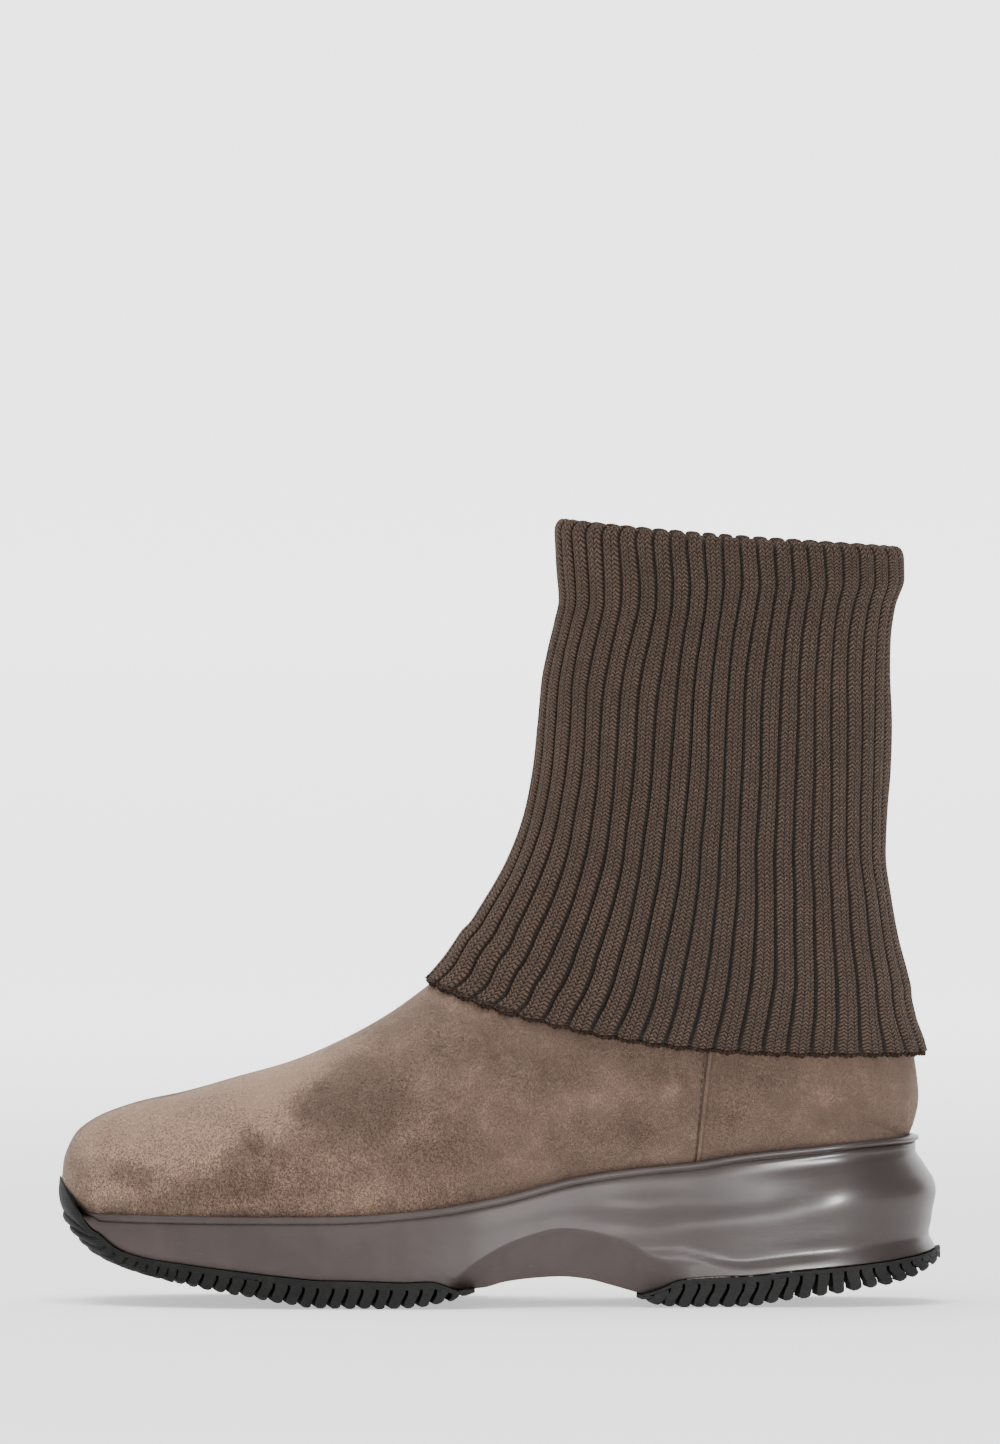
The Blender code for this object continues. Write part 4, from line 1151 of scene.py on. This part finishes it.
def dress_tread(name, node, section_of, length, start, share, lean_of, sway_of, rubber):
    def groove_of(place, depth):
        grow = blend(0.0, GROOVE_GROWTH, place - start + BAR_PITCH) if start > 0.0 else 1.0
        return min(GROOVE_LIMIT, max(depth - GROOVE_LAND, 0.0) * share) * grow

    points, faces = tread_base(section_of, length, groove_of)
    more, bars = tread_bars(section_of, length, start, groove_of, lean_of, sway_of)
    faces += [tuple(n + len(points) for n in face) for face in bars]
    points += more
    piece = skin_mesh(name, points, faces, [rubber])
    piece.data.set_sharp_from_angle(angle=SHARP_EDGE)
    return dressed(piece, "tread_rubber", node)


def dress_treads(rubber):
    fore_length = FAN_WALK[-1] + (ARCH_START - FLAT_START) * SOLE_LENGTH + LUG_RUN
    heel_length = (1.0 - ARCH_END) * SOLE_LENGTH - HEEL_SHORT
    dress_tread("forefoot_tread", "outsole_forefoot", forefoot_section, fore_length, FORE_START, FORE_SHARE,
                lambda place: FORE_LEAN * blend(0.03, 0.08, place),
                lambda place: BAR_WAVE * blend(0.0, 0.07, place), rubber)
    dress_tread("heel_tread", "outsole_heel", heel_section, heel_length, 0.0, HEEL_SHARE,
                lambda place: mix(*HEEL_LEANS, blend(0.040, 0.080, place)),
                lambda place: BAR_WAVE * (1.0 - blend(0.078, 0.088, place)), rubber)


# Suede upper. Soft dents where the leather gives: centre, reach and depth in millimetres
DENTS = (
    ((-8.0, -22.0, 96.0), (11.0, 14.0, 7.0), 0.8),
    ((-30.0, -30.0, 70.0), (14.0, 16.0, 10.0), 0.7),
    ((-70.0, -30.0, 58.0), (6.0, 16.0, 14.0), 0.6),
    ((-70.0, 26.0, 60.0), (8.0, 16.0, 12.0), 0.6),
    ((18.0, -32.0, 76.0), (22.0, 16.0, 6.0), 0.7),
    ((10.0, 30.0, 80.0), (18.0, 16.0, 8.0), 0.7),
    ((88.0, -32.0, 62.0), (16.0, 16.0, 6.0), 0.5),
    ((-100.0, 0.0, 60.0), (7.0, 22.0, 12.0), 0.4),
)
DENT_HEIGHT = 0.060
# Toe's lowest rows, laid on the bumper: how much they swell and drop, at what height and over what reach.
# TOE_MIDDLE and TOE_REACH are stations
TOE_SWELL = 0.0022
SWELL_HEIGHT = 0.032
SWELL_REACH = 0.0075
TOE_DROP = 0.0038
DROP_HEIGHT = 0.028
DROP_REACH = 0.0060
TOE_MIDDLE = 0.14
TOE_REACH = 0.06
TOE_EASE = 0.05 * SOLE_LENGTH
SEARCH_STEPS = 4001


def suede_rows():
    rows = UPPER.values[:, 0]
    fine = np.linspace(rows[0], rows[-1], SEARCH_STEPS)
    seats = np.array([UPPER.at("seat", row) for row in fine])
    climbs = np.array([UPPER.at("climb", row) for row in fine])
    on_cup = climbs <= 0.0
    turns = np.linspace(0.0, 1.0, SUEDE_COLUMNS + 1)
    built = [float(np.interp(station_of(turn), seats[on_cup], fine[on_cup])) for turn in turns]
    return built + [float(np.interp(climb, climbs, fine)) for climb in np.linspace(0.06, 1.0, SUEDE_BACK_ROWS)]


def suede_surface():
    points = []
    rows = suede_rows()
    for row in rows:
        points += upper_section(row)
    points = np.array(points)
    width = UPPER_ARC_STEPS + 3
    faces = []
    for number in range(len(rows) - 1):
        on_cup = number < SUEDE_COLUMNS
        for i in range(width - 1):
            if on_cup or 0 < i < width - 2:
                low = number * width + i
                faces.append((low, low + width, low + width + 1, low + 1))
    return points, faces


def settle(points):
    """Presses each dent in, and lays the toe's lowest rows on the bumper."""
    out = points.copy()
    for centre, reach, depth in DENTS:
        span = (points - np.array(centre) * MM) / (np.array(reach) * MM)
        weight = np.exp(-np.sum(span ** 2, axis=1)) * depth * MM
        inward = np.stack([np.zeros(len(points)), -points[:, 1], DENT_HEIGHT - points[:, 2]], axis=1)
        inward /= np.maximum(np.linalg.norm(inward, axis=1), 1e-4)[:, None]
        out += inward * weight[:, None]
    middle = np.array((along(TOE_MIDDLE), swing(along(TOE_MIDDLE))))
    ahead = points[:, :2] - middle
    ahead /= np.maximum(np.linalg.norm(ahead, axis=1), 1e-4)[:, None]
    swell = np.exp(-((points[:, 2] - SWELL_HEIGHT) / SWELL_REACH) ** 2) * TOE_SWELL
    drop = np.exp(-((points[:, 2] - DROP_HEIGHT) / DROP_REACH) ** 2) * TOE_DROP
    close = np.clip((along(TOE_REACH) - points[:, 0]) / TOE_EASE, 0.0, 1.0)
    out[:, :2] += ahead * (swell * close)[:, None]
    out[:, 2] -= drop * close
    return out


def dress_upper(suede, lining):
    points, faces = suede_surface()
    points = settle(points)
    piece = skin_mesh("suede_upper", points, faces, [suede, lining])
    wall = piece.modifiers.new("wall", "SOLIDIFY")
    wall.thickness = SUEDE_WALL
    wall.offset = -1.0
    wall.material_offset = 1
    dressed(piece, "suede", "upper")
    return BVHTree.FromPolygons([tuple(point) for point in points], faces)


# Rib-knit shaft
COURSE = 0.00125
WALES = 3.0
RIB_DEPTH = 0.0018
HEM_SCALLOP = 0.0006
RIB_OPEN = (0.30, 0.37)
RIB_VALLEY = 0.47
VALLEY_SHARE = 0.75
CROWN_SHARE = 0.45
CROWN_POWER = 2.2
HEM_FLATTER = 0.35
FOLD_FLATTER = 0.5
# Sway of the ribs and slack of the knit: waves, each with its turns up and round the shaft and its size
SWAY = ((9.0, 40.0, 0.035), (23.0, 90.0, 0.02))
SLACK = ((7.0, 5.0, 0.35), (-13.0, 11.0, 0.22), (17.0, 3.0, 0.25))
SLACK_DEPTH = 0.0005
# Shares of the shaft's height: hem, margin at the collar, run above it, and the ends of the inner tube
HEM_RUN = 0.03
COLLAR_MARGIN = 0.012
COLLAR_RUN = 0.22
INSIDE_ENDS = (0.97, 0.30)
UNDER_ROWS = (1.0, 0.8, 0.6, 0.4, 0.2, 0.0)
RIB_POSITIONS = np.array([(rib + share) / RIB_COUNT for rib in range(RIB_COUNT) for share in RIB_COLUMNS])
RIB_SHARES = np.array([share for rib in range(RIB_COUNT) for share in RIB_COLUMNS])


def walked(path):
    """Length walked along a path up to each of its points."""
    return np.concatenate(([0.0], np.cumsum(np.linalg.norm(np.diff(path, axis=0), axis=1))))


def at_walk(marks, walk, path):
    return np.stack([np.interp(marks, walk, path[:, axis]) for axis in range(3)], axis=1)


def away_from(middle, points):
    """Level directions from the middle to each point."""
    out = points - middle
    out[:, 2] = 0.0
    return out / np.linalg.norm(out, axis=1)[:, None]


def shaft_ring(rise, inset, lift=0.0):
    """Points round the shaft at a share of its height: at each column of each rib, from the front."""
    front = along(SHAFT.at("front", rise)) + inset
    back = along(SHAFT.at("back", rise)) - inset
    half = SHAFT.at("half", rise) * SHAFT_WIDTH - inset
    fold = BOOT_HEIGHT - FOLD_HEIGHT
    z_front = mix(HEM_FRONT_HEIGHT, fold, SHAFT.at("front_rise", rise)) + lift
    z_back = mix(HEM_BACK_HEIGHT, fold - TOP_DROP, SHAFT.at("back_rise", rise)) + lift
    droop = SHAFT.at("droop", rise) * HEM_SAG
    egg = HEM_EGG * (1.0 - rise)

    def place(angle):
        share = (1.0 - math.cos(angle)) / 2.0
        x = mix(front, back, share)
        y = -half * power(math.sin(angle), SHAFT_SQUARE) * (1.0 - egg * math.cos(angle))
        z = mix(z_front, z_back, share) - droop * math.sin(math.pi * share ** SAG_SKEW)
        return (x, swing(x) + y, z)

    trace = np.array([place(2.0 * math.pi * i / SHAFT_TRACE) for i in range(SHAFT_TRACE + 1)])
    walk = walked(trace)
    sway = sum(size * np.sin(rise * up + RIB_POSITIONS * turns) for up, turns, size in SWAY)
    spots = ((RIB_POSITIONS + sway * blend(0.02, 0.15, rise) / RIB_COUNT) % 1.0) * walk[-1]
    return at_walk(spots, walk, trace)


def ribbed(ring, relief, rise, angle=0.0):
    """Sinks the valleys between ribs and rounds their shoulders, square to the knit where it folds."""
    reach = np.abs(RIB_SHARES)
    open_up = mix(*RIB_OPEN, blend(0.0, 0.12, rise))
    edge = np.clip((reach - open_up) / (RIB_VALLEY - open_up), 0.0, 1.0)
    valley = edge * edge * (3.0 - 2.0 * edge)
    sunk = (valley * VALLEY_SHARE + CROWN_SHARE * (reach / 0.5) ** CROWN_POWER) * relief
    out = ring - away_from(ring.mean(axis=0), ring) * (sunk * math.cos(angle))[:, None]
    out[:, 2] -= sunk * math.sin(angle)
    return out


def slack(ring, rise):
    """Slight softness of the knit, so that no two ribs stand alike."""
    turn = RIB_POSITIONS * 2.0 * math.pi
    give = sum(np.sin(turn * turns + rise * up) * size for up, turns, size in SLACK) * SLACK_DEPTH
    return ring + away_from(ring.mean(axis=0), ring) * (give * blend(0.0, 0.1, rise))[:, None]


def over_suede(ring, surface):
    """The ring laid on the suede with a little clearance, or set in by a wall where there is no suede."""
    out = ring.copy()
    for i, inward in enumerate(-away_from(ring.mean(axis=0), ring)):
        start = ring[i] - inward * SUEDE_REACH
        hit = surface.ray_cast(Vector(start), Vector(inward), 2.0 * SUEDE_REACH)
        if hit[0] is None:
            out[i, :2] += inward[:2] * KNIT_WALL
        else:
            out[i, :2] = (np.array(hit[0]) - inward * COLLAR_CLEAR)[:2]
    return out


def wall_push(outside, clear):
    """How far each outside point has to move out to leave the knit its wall, and which way."""
    outward = away_from(outside.mean(axis=0), outside)
    wall = np.sum((outside - clear) * outward, axis=1)
    return np.maximum(KNIT_WALL - wall, 0.0), outward


def dress_shaft(knit, surface):
    """Outside, fold, inside, and the hem's hollow over the collar, as one closed skin."""
    rings = []
    collar = shaft_ring(COLLAR_RISE - COLLAR_MARGIN, 0.0)
    collar_push = wall_push(collar, over_suede(collar, surface))[0]
    for rise in np.linspace(0.0, 1.0, SHAFT_ROWS):
        outside = shaft_ring(rise, 0.0)
        push, outward = wall_push(outside, outside)
        if rise < COLLAR_RISE - COLLAR_MARGIN:
            push = wall_push(outside, over_suede(outside, surface))[0]
        else:
            push = collar_push * (1.0 - blend(COLLAR_RISE, COLLAR_RISE + COLLAR_RUN, rise))
        outside = slack(outside + outward * push[:, None], rise)
        ends = 1.0 - blend(0.0, HEM_RUN, rise)
        outside[:, 2] -= HEM_SCALLOP * ends * (1.0 - 2.0 * np.abs(RIB_SHARES))
        rings.append(ribbed(outside, RIB_DEPTH * (1.0 - HEM_FLATTER * ends), rise))
    for step in range(1, FOLD_STEPS + 1):
        angle = math.pi * step / FOLD_STEPS
        inset = KNIT_WALL * (1.0 - math.cos(angle))
        ring = slack(shaft_ring(1.0, inset, FOLD_HEIGHT * math.sin(angle)), 1.0)
        relief = RIB_DEPTH * (1.0 - FOLD_FLATTER * step / FOLD_STEPS)
        rings.append(ribbed(ring, relief, 1.0, min(angle, math.pi - angle)))
    for rise in np.linspace(*INSIDE_ENDS, INSIDE_ROWS):
        rings.append(ribbed(shaft_ring(rise, 2.0 * KNIT_WALL), FOLD_FLATTER * RIB_DEPTH, rise))
    seam = COLLAR_RISE + COLLAR_EASE
    rings.append(shaft_ring(seam, KNIT_WALL + SUEDE_WALL + FIT_GAP))
    rings.append(shaft_ring(seam, KNIT_WALL))
    for share in UNDER_ROWS:
        rings.append(over_suede(shaft_ring(COLLAR_RISE * share, 0.0), surface))
    size = len(rings[0])
    points = np.concatenate(rings)
    steps = [np.linalg.norm(after - before, axis=1).mean() for before, after in zip(rings[:-1], rings[1:])]
    courses = np.concatenate(([0.0], np.cumsum(steps))) / COURSE
    across = RIB_POSITIONS * RIB_COUNT
    faces = ring_faces(len(rings), size)
    last = (len(rings) - 1) * size
    faces += [(last + i, last + (i + 1) % size, (i + 1) % size, i) for i in range(size)]
    marks = []
    for ring in range(len(rings)):
        low = courses[ring]
        high = courses[ring + 1] if ring + 1 < len(rings) else courses[ring] + 1.0
        for i in range(size):
            left = across[i]
            right = across[i + 1] if i + 1 < size else RIB_COUNT + RIB_COLUMNS[0]
            marks.append(((left, low), (right, low), (right, high), (left, high)))
    piece = skin_mesh("rib_knit_shaft", points, faces, [knit], marks)
    dressed(piece, "rib_knit", "knit_shaft")
    return rings[0]


# Rows of small forms: hem loops and knots, and seam stitches
def row_tree(name, shape):
    """Geometry nodes that set one small form at each point of a row, along and out of the surface."""
    tree = bpy.data.node_groups.new(name, "GeometryNodeTree")
    face = tree.interface
    face.new_socket("Geometry", in_out="INPUT", socket_type="NodeSocketGeometry")
    for label, size in (("Length", 0.002), ("Width", 0.001), ("Thickness", 0.0004), ("Unevenness", 0.1)):
        socket = face.new_socket(label, in_out="INPUT", socket_type="NodeSocketFloat")
        socket.default_value = size
    face.new_socket("Finish", in_out="INPUT", socket_type="NodeSocketMaterial")
    face.new_socket("Geometry", in_out="OUTPUT", socket_type="NodeSocketGeometry")

    def node(kind, settings=(), sockets=()):
        return add_node(tree, kind, settings, sockets)

    given = node("NodeGroupInput")
    if shape == "bead":
        ball = node("GeometryNodeMeshUVSphere", sockets={"Segments": 8, "Rings": 5, "Radius": 0.5})
        size = node("ShaderNodeCombineXYZ", sockets={
            "X": given.outputs["Length"], "Y": given.outputs["Width"], "Z": given.outputs["Thickness"]})
        form = node("GeometryNodeTransform", sockets={
            "Geometry": ball.outputs["Mesh"], "Scale": size.outputs["Vector"]}).outputs["Geometry"]
    else:
        round_path = node("GeometryNodeCurvePrimitiveCircle", sockets={"Resolution": 8, "Radius": 0.5})
        size = node("ShaderNodeCombineXYZ", sockets={
            "X": given.outputs["Length"], "Y": given.outputs["Width"], "Z": 1.0})
        oval = node("GeometryNodeTransform", sockets={
            "Geometry": round_path.outputs["Curve"], "Scale": size.outputs["Vector"]})
        half = node("ShaderNodeMath", {"operation": "MULTIPLY"}, {0: given.outputs["Thickness"], 1: 0.5})
        strand = node("GeometryNodeCurvePrimitiveCircle", sockets={
            "Resolution": 4, "Radius": half.outputs[0]})
        form = node("GeometryNodeCurveToMesh", sockets={
            "Curve": oval.outputs["Geometry"], "Profile Curve": strand.outputs["Curve"]}).outputs["Mesh"]
    way = node("GeometryNodeInputNamedAttribute", {"data_type": "FLOAT_VECTOR"}, {"Name": "way"})
    out = node("GeometryNodeInputNamedAttribute", {"data_type": "FLOAT_VECTOR"}, {"Name": "out"})
    lie = node("FunctionNodeAlignEulerToVector", {"axis": "X"}, {"Vector": way.outputs["Attribute"]})
    face_out = node("FunctionNodeAlignEulerToVector", {"axis": "Z", "pivot_axis": "X"}, {
        "Rotation": lie.outputs["Rotation"], "Vector": out.outputs["Attribute"]})
    less = node("ShaderNodeMath", {"operation": "SUBTRACT"}, {0: 1.0, 1: given.outputs["Unevenness"]})
    vary = node("FunctionNodeRandomValue", {"data_type": "FLOAT"}, {"Seed": 7, 2: less.outputs[0], 3: 1.0})
    spots = node("GeometryNodeMeshToPoints", sockets={"Mesh": given.outputs["Geometry"]})
    put = node("GeometryNodeInstanceOnPoints", sockets={
        "Points": spots.outputs["Points"], "Instance": form, "Rotation": face_out.outputs["Rotation"],
        "Scale": vary.outputs[1]})
    real = node("GeometryNodeRealizeInstances", sockets={"Geometry": put.outputs["Instances"]})
    coat = node("GeometryNodeSetMaterial", sockets={
        "Geometry": real.outputs["Geometry"], "Material": given.outputs["Finish"]})
    node("NodeGroupOutput", sockets={"Geometry": coat.outputs["Geometry"]})
    return tree


def row_of(name, tree, spots, ways, outs, sizes, finish, slot):
    """Bakes one row of small forms into a plain mesh piece."""
    data = bpy.data.meshes.new(name + "_spots")
    data.from_pydata([tuple(spot) for spot in spots], [], [])
    for label, vectors in (("way", ways), ("out", outs)):
        layer = data.attributes.new(label, "FLOAT_VECTOR", "POINT")
        layer.data.foreach_set("vector", np.array(vectors, dtype=np.float32).ravel())
    maker = bpy.data.objects.new(name + "_maker", data)
    bpy.context.scene.collection.objects.link(maker)
    nodes = maker.modifiers.new("row", "NODES")
    nodes.node_group = tree
    for item in tree.interface.items_tree:
        if item.in_out == "INPUT" and item.name in sizes:
            nodes[item.identifier] = sizes[item.name]
        if item.in_out == "INPUT" and item.name == "Finish":
            nodes[item.identifier] = finish
    graph = bpy.context.evaluated_depsgraph_get()
    mesh = bpy.data.meshes.new_from_object(maker.evaluated_get(graph), depsgraph=graph)
    bpy.data.objects.remove(maker, do_unlink=True)
    mesh.name = name
    mesh.polygons.foreach_set("use_smooth", [True] * len(mesh.polygons))
    piece = bpy.data.objects.new(name, mesh)
    bpy.context.scene.collection.objects.link(piece)
    return dressed(piece, slot)


def spaced(path, gap, start=0.0):
    """Points and directions at even gaps along a path."""
    walk = walked(path)
    marks = np.arange(start, walk[-1], gap)
    ways = at_walk(marks + 0.3 * gap, walk, path) - at_walk(marks - 0.3 * gap, walk, path)
    ways /= np.maximum(np.linalg.norm(ways, axis=1), 1e-9)[:, None]
    return at_walk(marks, walk, path), ways


# Rows of the hem: form, gap and start along the edge, how far in and how far down it lies, and its sizes
HEM_ROWS = {
    "hem_loops": ("loop", 0.00175, 0.0, 0.0009, 0.0004,
                  {"Length": 0.0017, "Width": 0.0020, "Thickness": 0.00080, "Unevenness": 0.25}),
    "hem_edge": ("bead", 0.0012, 0.0005, 0.0010, 0.0006,
                 {"Length": 0.0018, "Width": 0.0012, "Thickness": 0.0012, "Unevenness": 0.25}),
}


def dress_hem(lowest, yarn):
    """Bound-off edge of the turned-down knit: a row of small loops, and a row of knots under it."""
    closed = np.vstack([lowest, lowest[:1]])
    for name, (form, gap, start, inset, drop, sizes) in HEM_ROWS.items():
        spots, ways = spaced(closed, gap, start)
        outs = away_from(lowest.mean(axis=0), spots)
        places = spots - outs * inset - np.array((0.0, 0.0, drop))
        row_of(name, row_tree(name + "_form", form), places, ways, outs, sizes, yarn, "rib_knit")


# Seam stitches, in metres but for SEAM_PAST
SEAM_PLACES = 60
SEAM_PAST = 12.0
STITCH_GAP = 0.0026
STITCH_START = 0.0008
STITCH_SINK = 0.00002
STITCH_SIZES = {"Length": 0.0021, "Width": 0.00048, "Thickness": 0.00042, "Unevenness": 0.12}


def seam_path(side, surface):
    """Places up the side of the upper where the vamp meets the quarter."""
    path = []
    outs = []
    for share in np.linspace(0.0, 1.0, SEAM_PLACES):
        x = mix(SEAM_LOW[0], SEAM_HIGH[0], share) * MM
        z = mix(SEAM_LOW[1], SEAM_HIGH[1] + SEAM_PAST, share) * MM
        hit = surface.ray_cast(Vector((x, side * 0.08, z)), Vector((0.0, -side, 0.0)))
        if hit[0] is not None:
            out = np.array(hit[1])
            outs.append(out if out[1] * side > 0.0 else -out)
            path.append(np.array(hit[0]))
    return np.array(path), np.array(outs)


def dress_seams(surface, thread):
    tree = row_tree("seam_stitch", "bead")
    for name, side in (("outer_seam_stitches", -1.0), ("inner_seam_stitches", 1.0)):
        path, path_outs = seam_path(side, surface)
        spots, ways = spaced(path, STITCH_GAP, STITCH_START)
        walk = np.linspace(0.0, 1.0, len(path_outs))
        place = np.linspace(0.0, 1.0, len(spots))
        outs = at_walk(place, walk, path_outs)
        row_of(name, tree, spots - outs * STITCH_SINK, ways, outs, STITCH_SIZES, thread, "suede")


# Trace of cement, in millimetres: each run's start, end and thickness
CEMENT_RUNS = (
    (57.0, 70.0, 0.42),
    (71.5, 72.6, 0.28),
    (75.5, 77.0, 0.30),
    (82.5, 84.0, 0.26),
    (88.0, 88.9, 0.22),
)
CEMENT_STEP = 0.5
CEMENT_SIDES = 8
CEMENT_INSET = 0.0010
CEMENT_LIFT = 0.0001


def dress_cement(cement):
    """Trace of cement left between the heel tread and the midsole, on the outer side."""
    rng = np.random.default_rng(5)
    points = []
    faces = []
    for start, end, thick in CEMENT_RUNS:
        steps = max(int((end - start) / CEMENT_STEP), 3)
        first = len(points)
        for i in range(steps + 1):
            x = mix(start, end, i / steps) * MM
            station = x / SOLE_LENGTH + 0.5
            taper = math.sin(math.pi * min(max(i / steps, 0.04), 0.96)) ** 0.5
            radius = thick * MM * taper * (0.8 + 0.4 * rng.random())
            y = swing(x) - half_plan(station) + CEMENT_INSET + 0.0002 * rng.random()
            z = bond_edge(station) + CEMENT_LIFT
            for k in range(CEMENT_SIDES):
                angle = 2.0 * math.pi * k / CEMENT_SIDES
                points.append((x, y + radius * math.cos(angle), z + 1.3 * radius * math.sin(angle)))
        faces += [tuple(first + n for n in face) for face in ring_faces(steps + 1, CEMENT_SIDES)]
        faces.append(tuple(first + n for n in range(CEMENT_SIDES)))
        faces.append(tuple(len(points) - CEMENT_SIDES + n for n in range(CEMENT_SIDES)))
    dressed(skin_mesh("cement_trace", points, faces, [cement]), "midsole_shell")


def dress_insole(lining):
    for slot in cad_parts["insole"].material_slots:
        slot.material = lining


# Studio
VIEW_DISTANCE = 8.0
VIEW_HEIGHT = 0.1772
VIEW_TILT = 1.5
FRAME_HEIGHT = 0.441
SENSOR = 36.0
SWEEP_HALF = 16.0
SWEEP_BACK = 9.0
SWEEP_BEND = 4.0
SWEEP_TOP = 14.0
SWEEP_STEPS = 16


def make_camera():
    data = bpy.data.cameras.new("camera")
    data.sensor_width = SENSOR
    data.lens = SENSOR * VIEW_DISTANCE / FRAME_HEIGHT
    data.clip_start = 0.05
    data.clip_end = 50.0
    camera = bpy.data.objects.new("camera", data)
    tilt = math.radians(VIEW_TILT)
    camera.location = (0.0, -VIEW_DISTANCE * math.cos(tilt), VIEW_HEIGHT + VIEW_DISTANCE * math.sin(tilt))
    camera.rotation_euler = (math.pi / 2.0 - tilt, 0.0, 0.0)
    bpy.context.scene.collection.objects.link(camera)
    bpy.context.scene.camera = camera


def make_floor():
    """Seamless pale sweep: floor, wide curve and wall. It glows more away from the boot, save towards -Y."""
    profile = [(-SWEEP_HALF, 0.0), (-SWEEP_BEND, 0.0), (SWEEP_BEND, 0.0), (SWEEP_BACK, 0.0)]
    for i in range(1, SWEEP_STEPS + 1):
        angle = math.pi / 2.0 * i / SWEEP_STEPS
        back = SWEEP_BACK + SWEEP_BEND * math.sin(angle)
        profile.append((back, SWEEP_BEND - SWEEP_BEND * math.cos(angle)))
    profile.append((SWEEP_BACK + SWEEP_BEND, SWEEP_TOP))
    points = []
    for y, z in profile:
        points += [(-SWEEP_HALF, y, z), (SWEEP_HALF, y, z)]
    faces = [(2 * i, 2 * i + 1, 2 * i + 3, 2 * i + 2) for i in range(len(profile) - 1)]
    pale = Finish("pale_sweep", {"Base Color": (0.92, 0.92, 0.92, 1.0), "Roughness": 0.9,
                                 "Specular IOR Level": 0.0, "Emission Strength": 2.2})
    x, y = pale.axes(pale.place)[:2]
    away = ((x * x + y * y) ** 0.5).fade(0.35, 2.4) * (1.0 - 0.75 * y.fade(-0.9, -2.2))
    glow = pale.tint(away, (0.30, 0.30, 0.30), (1.0, 1.0, 1.0))
    floor = skin_mesh("studio_floor", points, faces, [pale.set(Emission_Color=glow)])


def make_light(name, place, aim, width, height, watts, lit=True, mirrored=True):
    """A panel lamp. It may be kept out of the light on matt surfaces, or out of reflections."""
    data = bpy.data.lights.new(name, "AREA")
    data.shape = "RECTANGLE"
    data.size = width
    data.size_y = height
    data.energy = watts
    light = bpy.data.objects.new(name, data)
    light.location = place
    light.rotation_euler = (Vector(aim) - Vector(place)).to_track_quat("-Z", "Y").to_euler()
    light.visible_diffuse = lit
    light.visible_glossy = mirrored
    light.visible_camera = False
    bpy.context.scene.collection.objects.link(light)


def make_studio():
    world = bpy.data.worlds.new("studio")
    world.use_nodes = True
    sky = world.node_tree.nodes["Background"]
    sky.inputs["Color"].default_value = (1.0, 1.0, 1.0, 1.0)
    sky.inputs["Strength"].default_value = 0.40
    bpy.context.scene.world = world
    make_light("overhead", (-0.25, -0.1, 1.9), (0.0, 0.0, 0.1), 2.2, 1.6, 48.0)
    make_light("front_fill", (-0.3, -3.6, 1.4), (0.0, 0.0, 0.1), 4.4, 3.0, 28.0, mirrored=False)
    make_light("heel_glow", (0.142, -0.356, 0.088), (0.094, -0.045, 0.036), 0.066, 0.090, 2.6, lit=False)


def main():
    suede = suede_finish()
    lining = lining_finish()
    shell = shell_finish()
    rubber = rubber_finish()
    knit = knit_finish()
    dress_midsole(shell)
    dress_treads(rubber)
    surface = dress_upper(suede, lining)
    lowest = dress_shaft(knit, surface)
    dress_hem(lowest, yarn_finish())
    dress_seams(surface, thread_finish("seam_thread", (0.030, 0.018, 0.012)))
    dress_cement(cement_finish())
    dress_insole(lining)
    make_floor()
    make_studio()
    make_camera()


main()
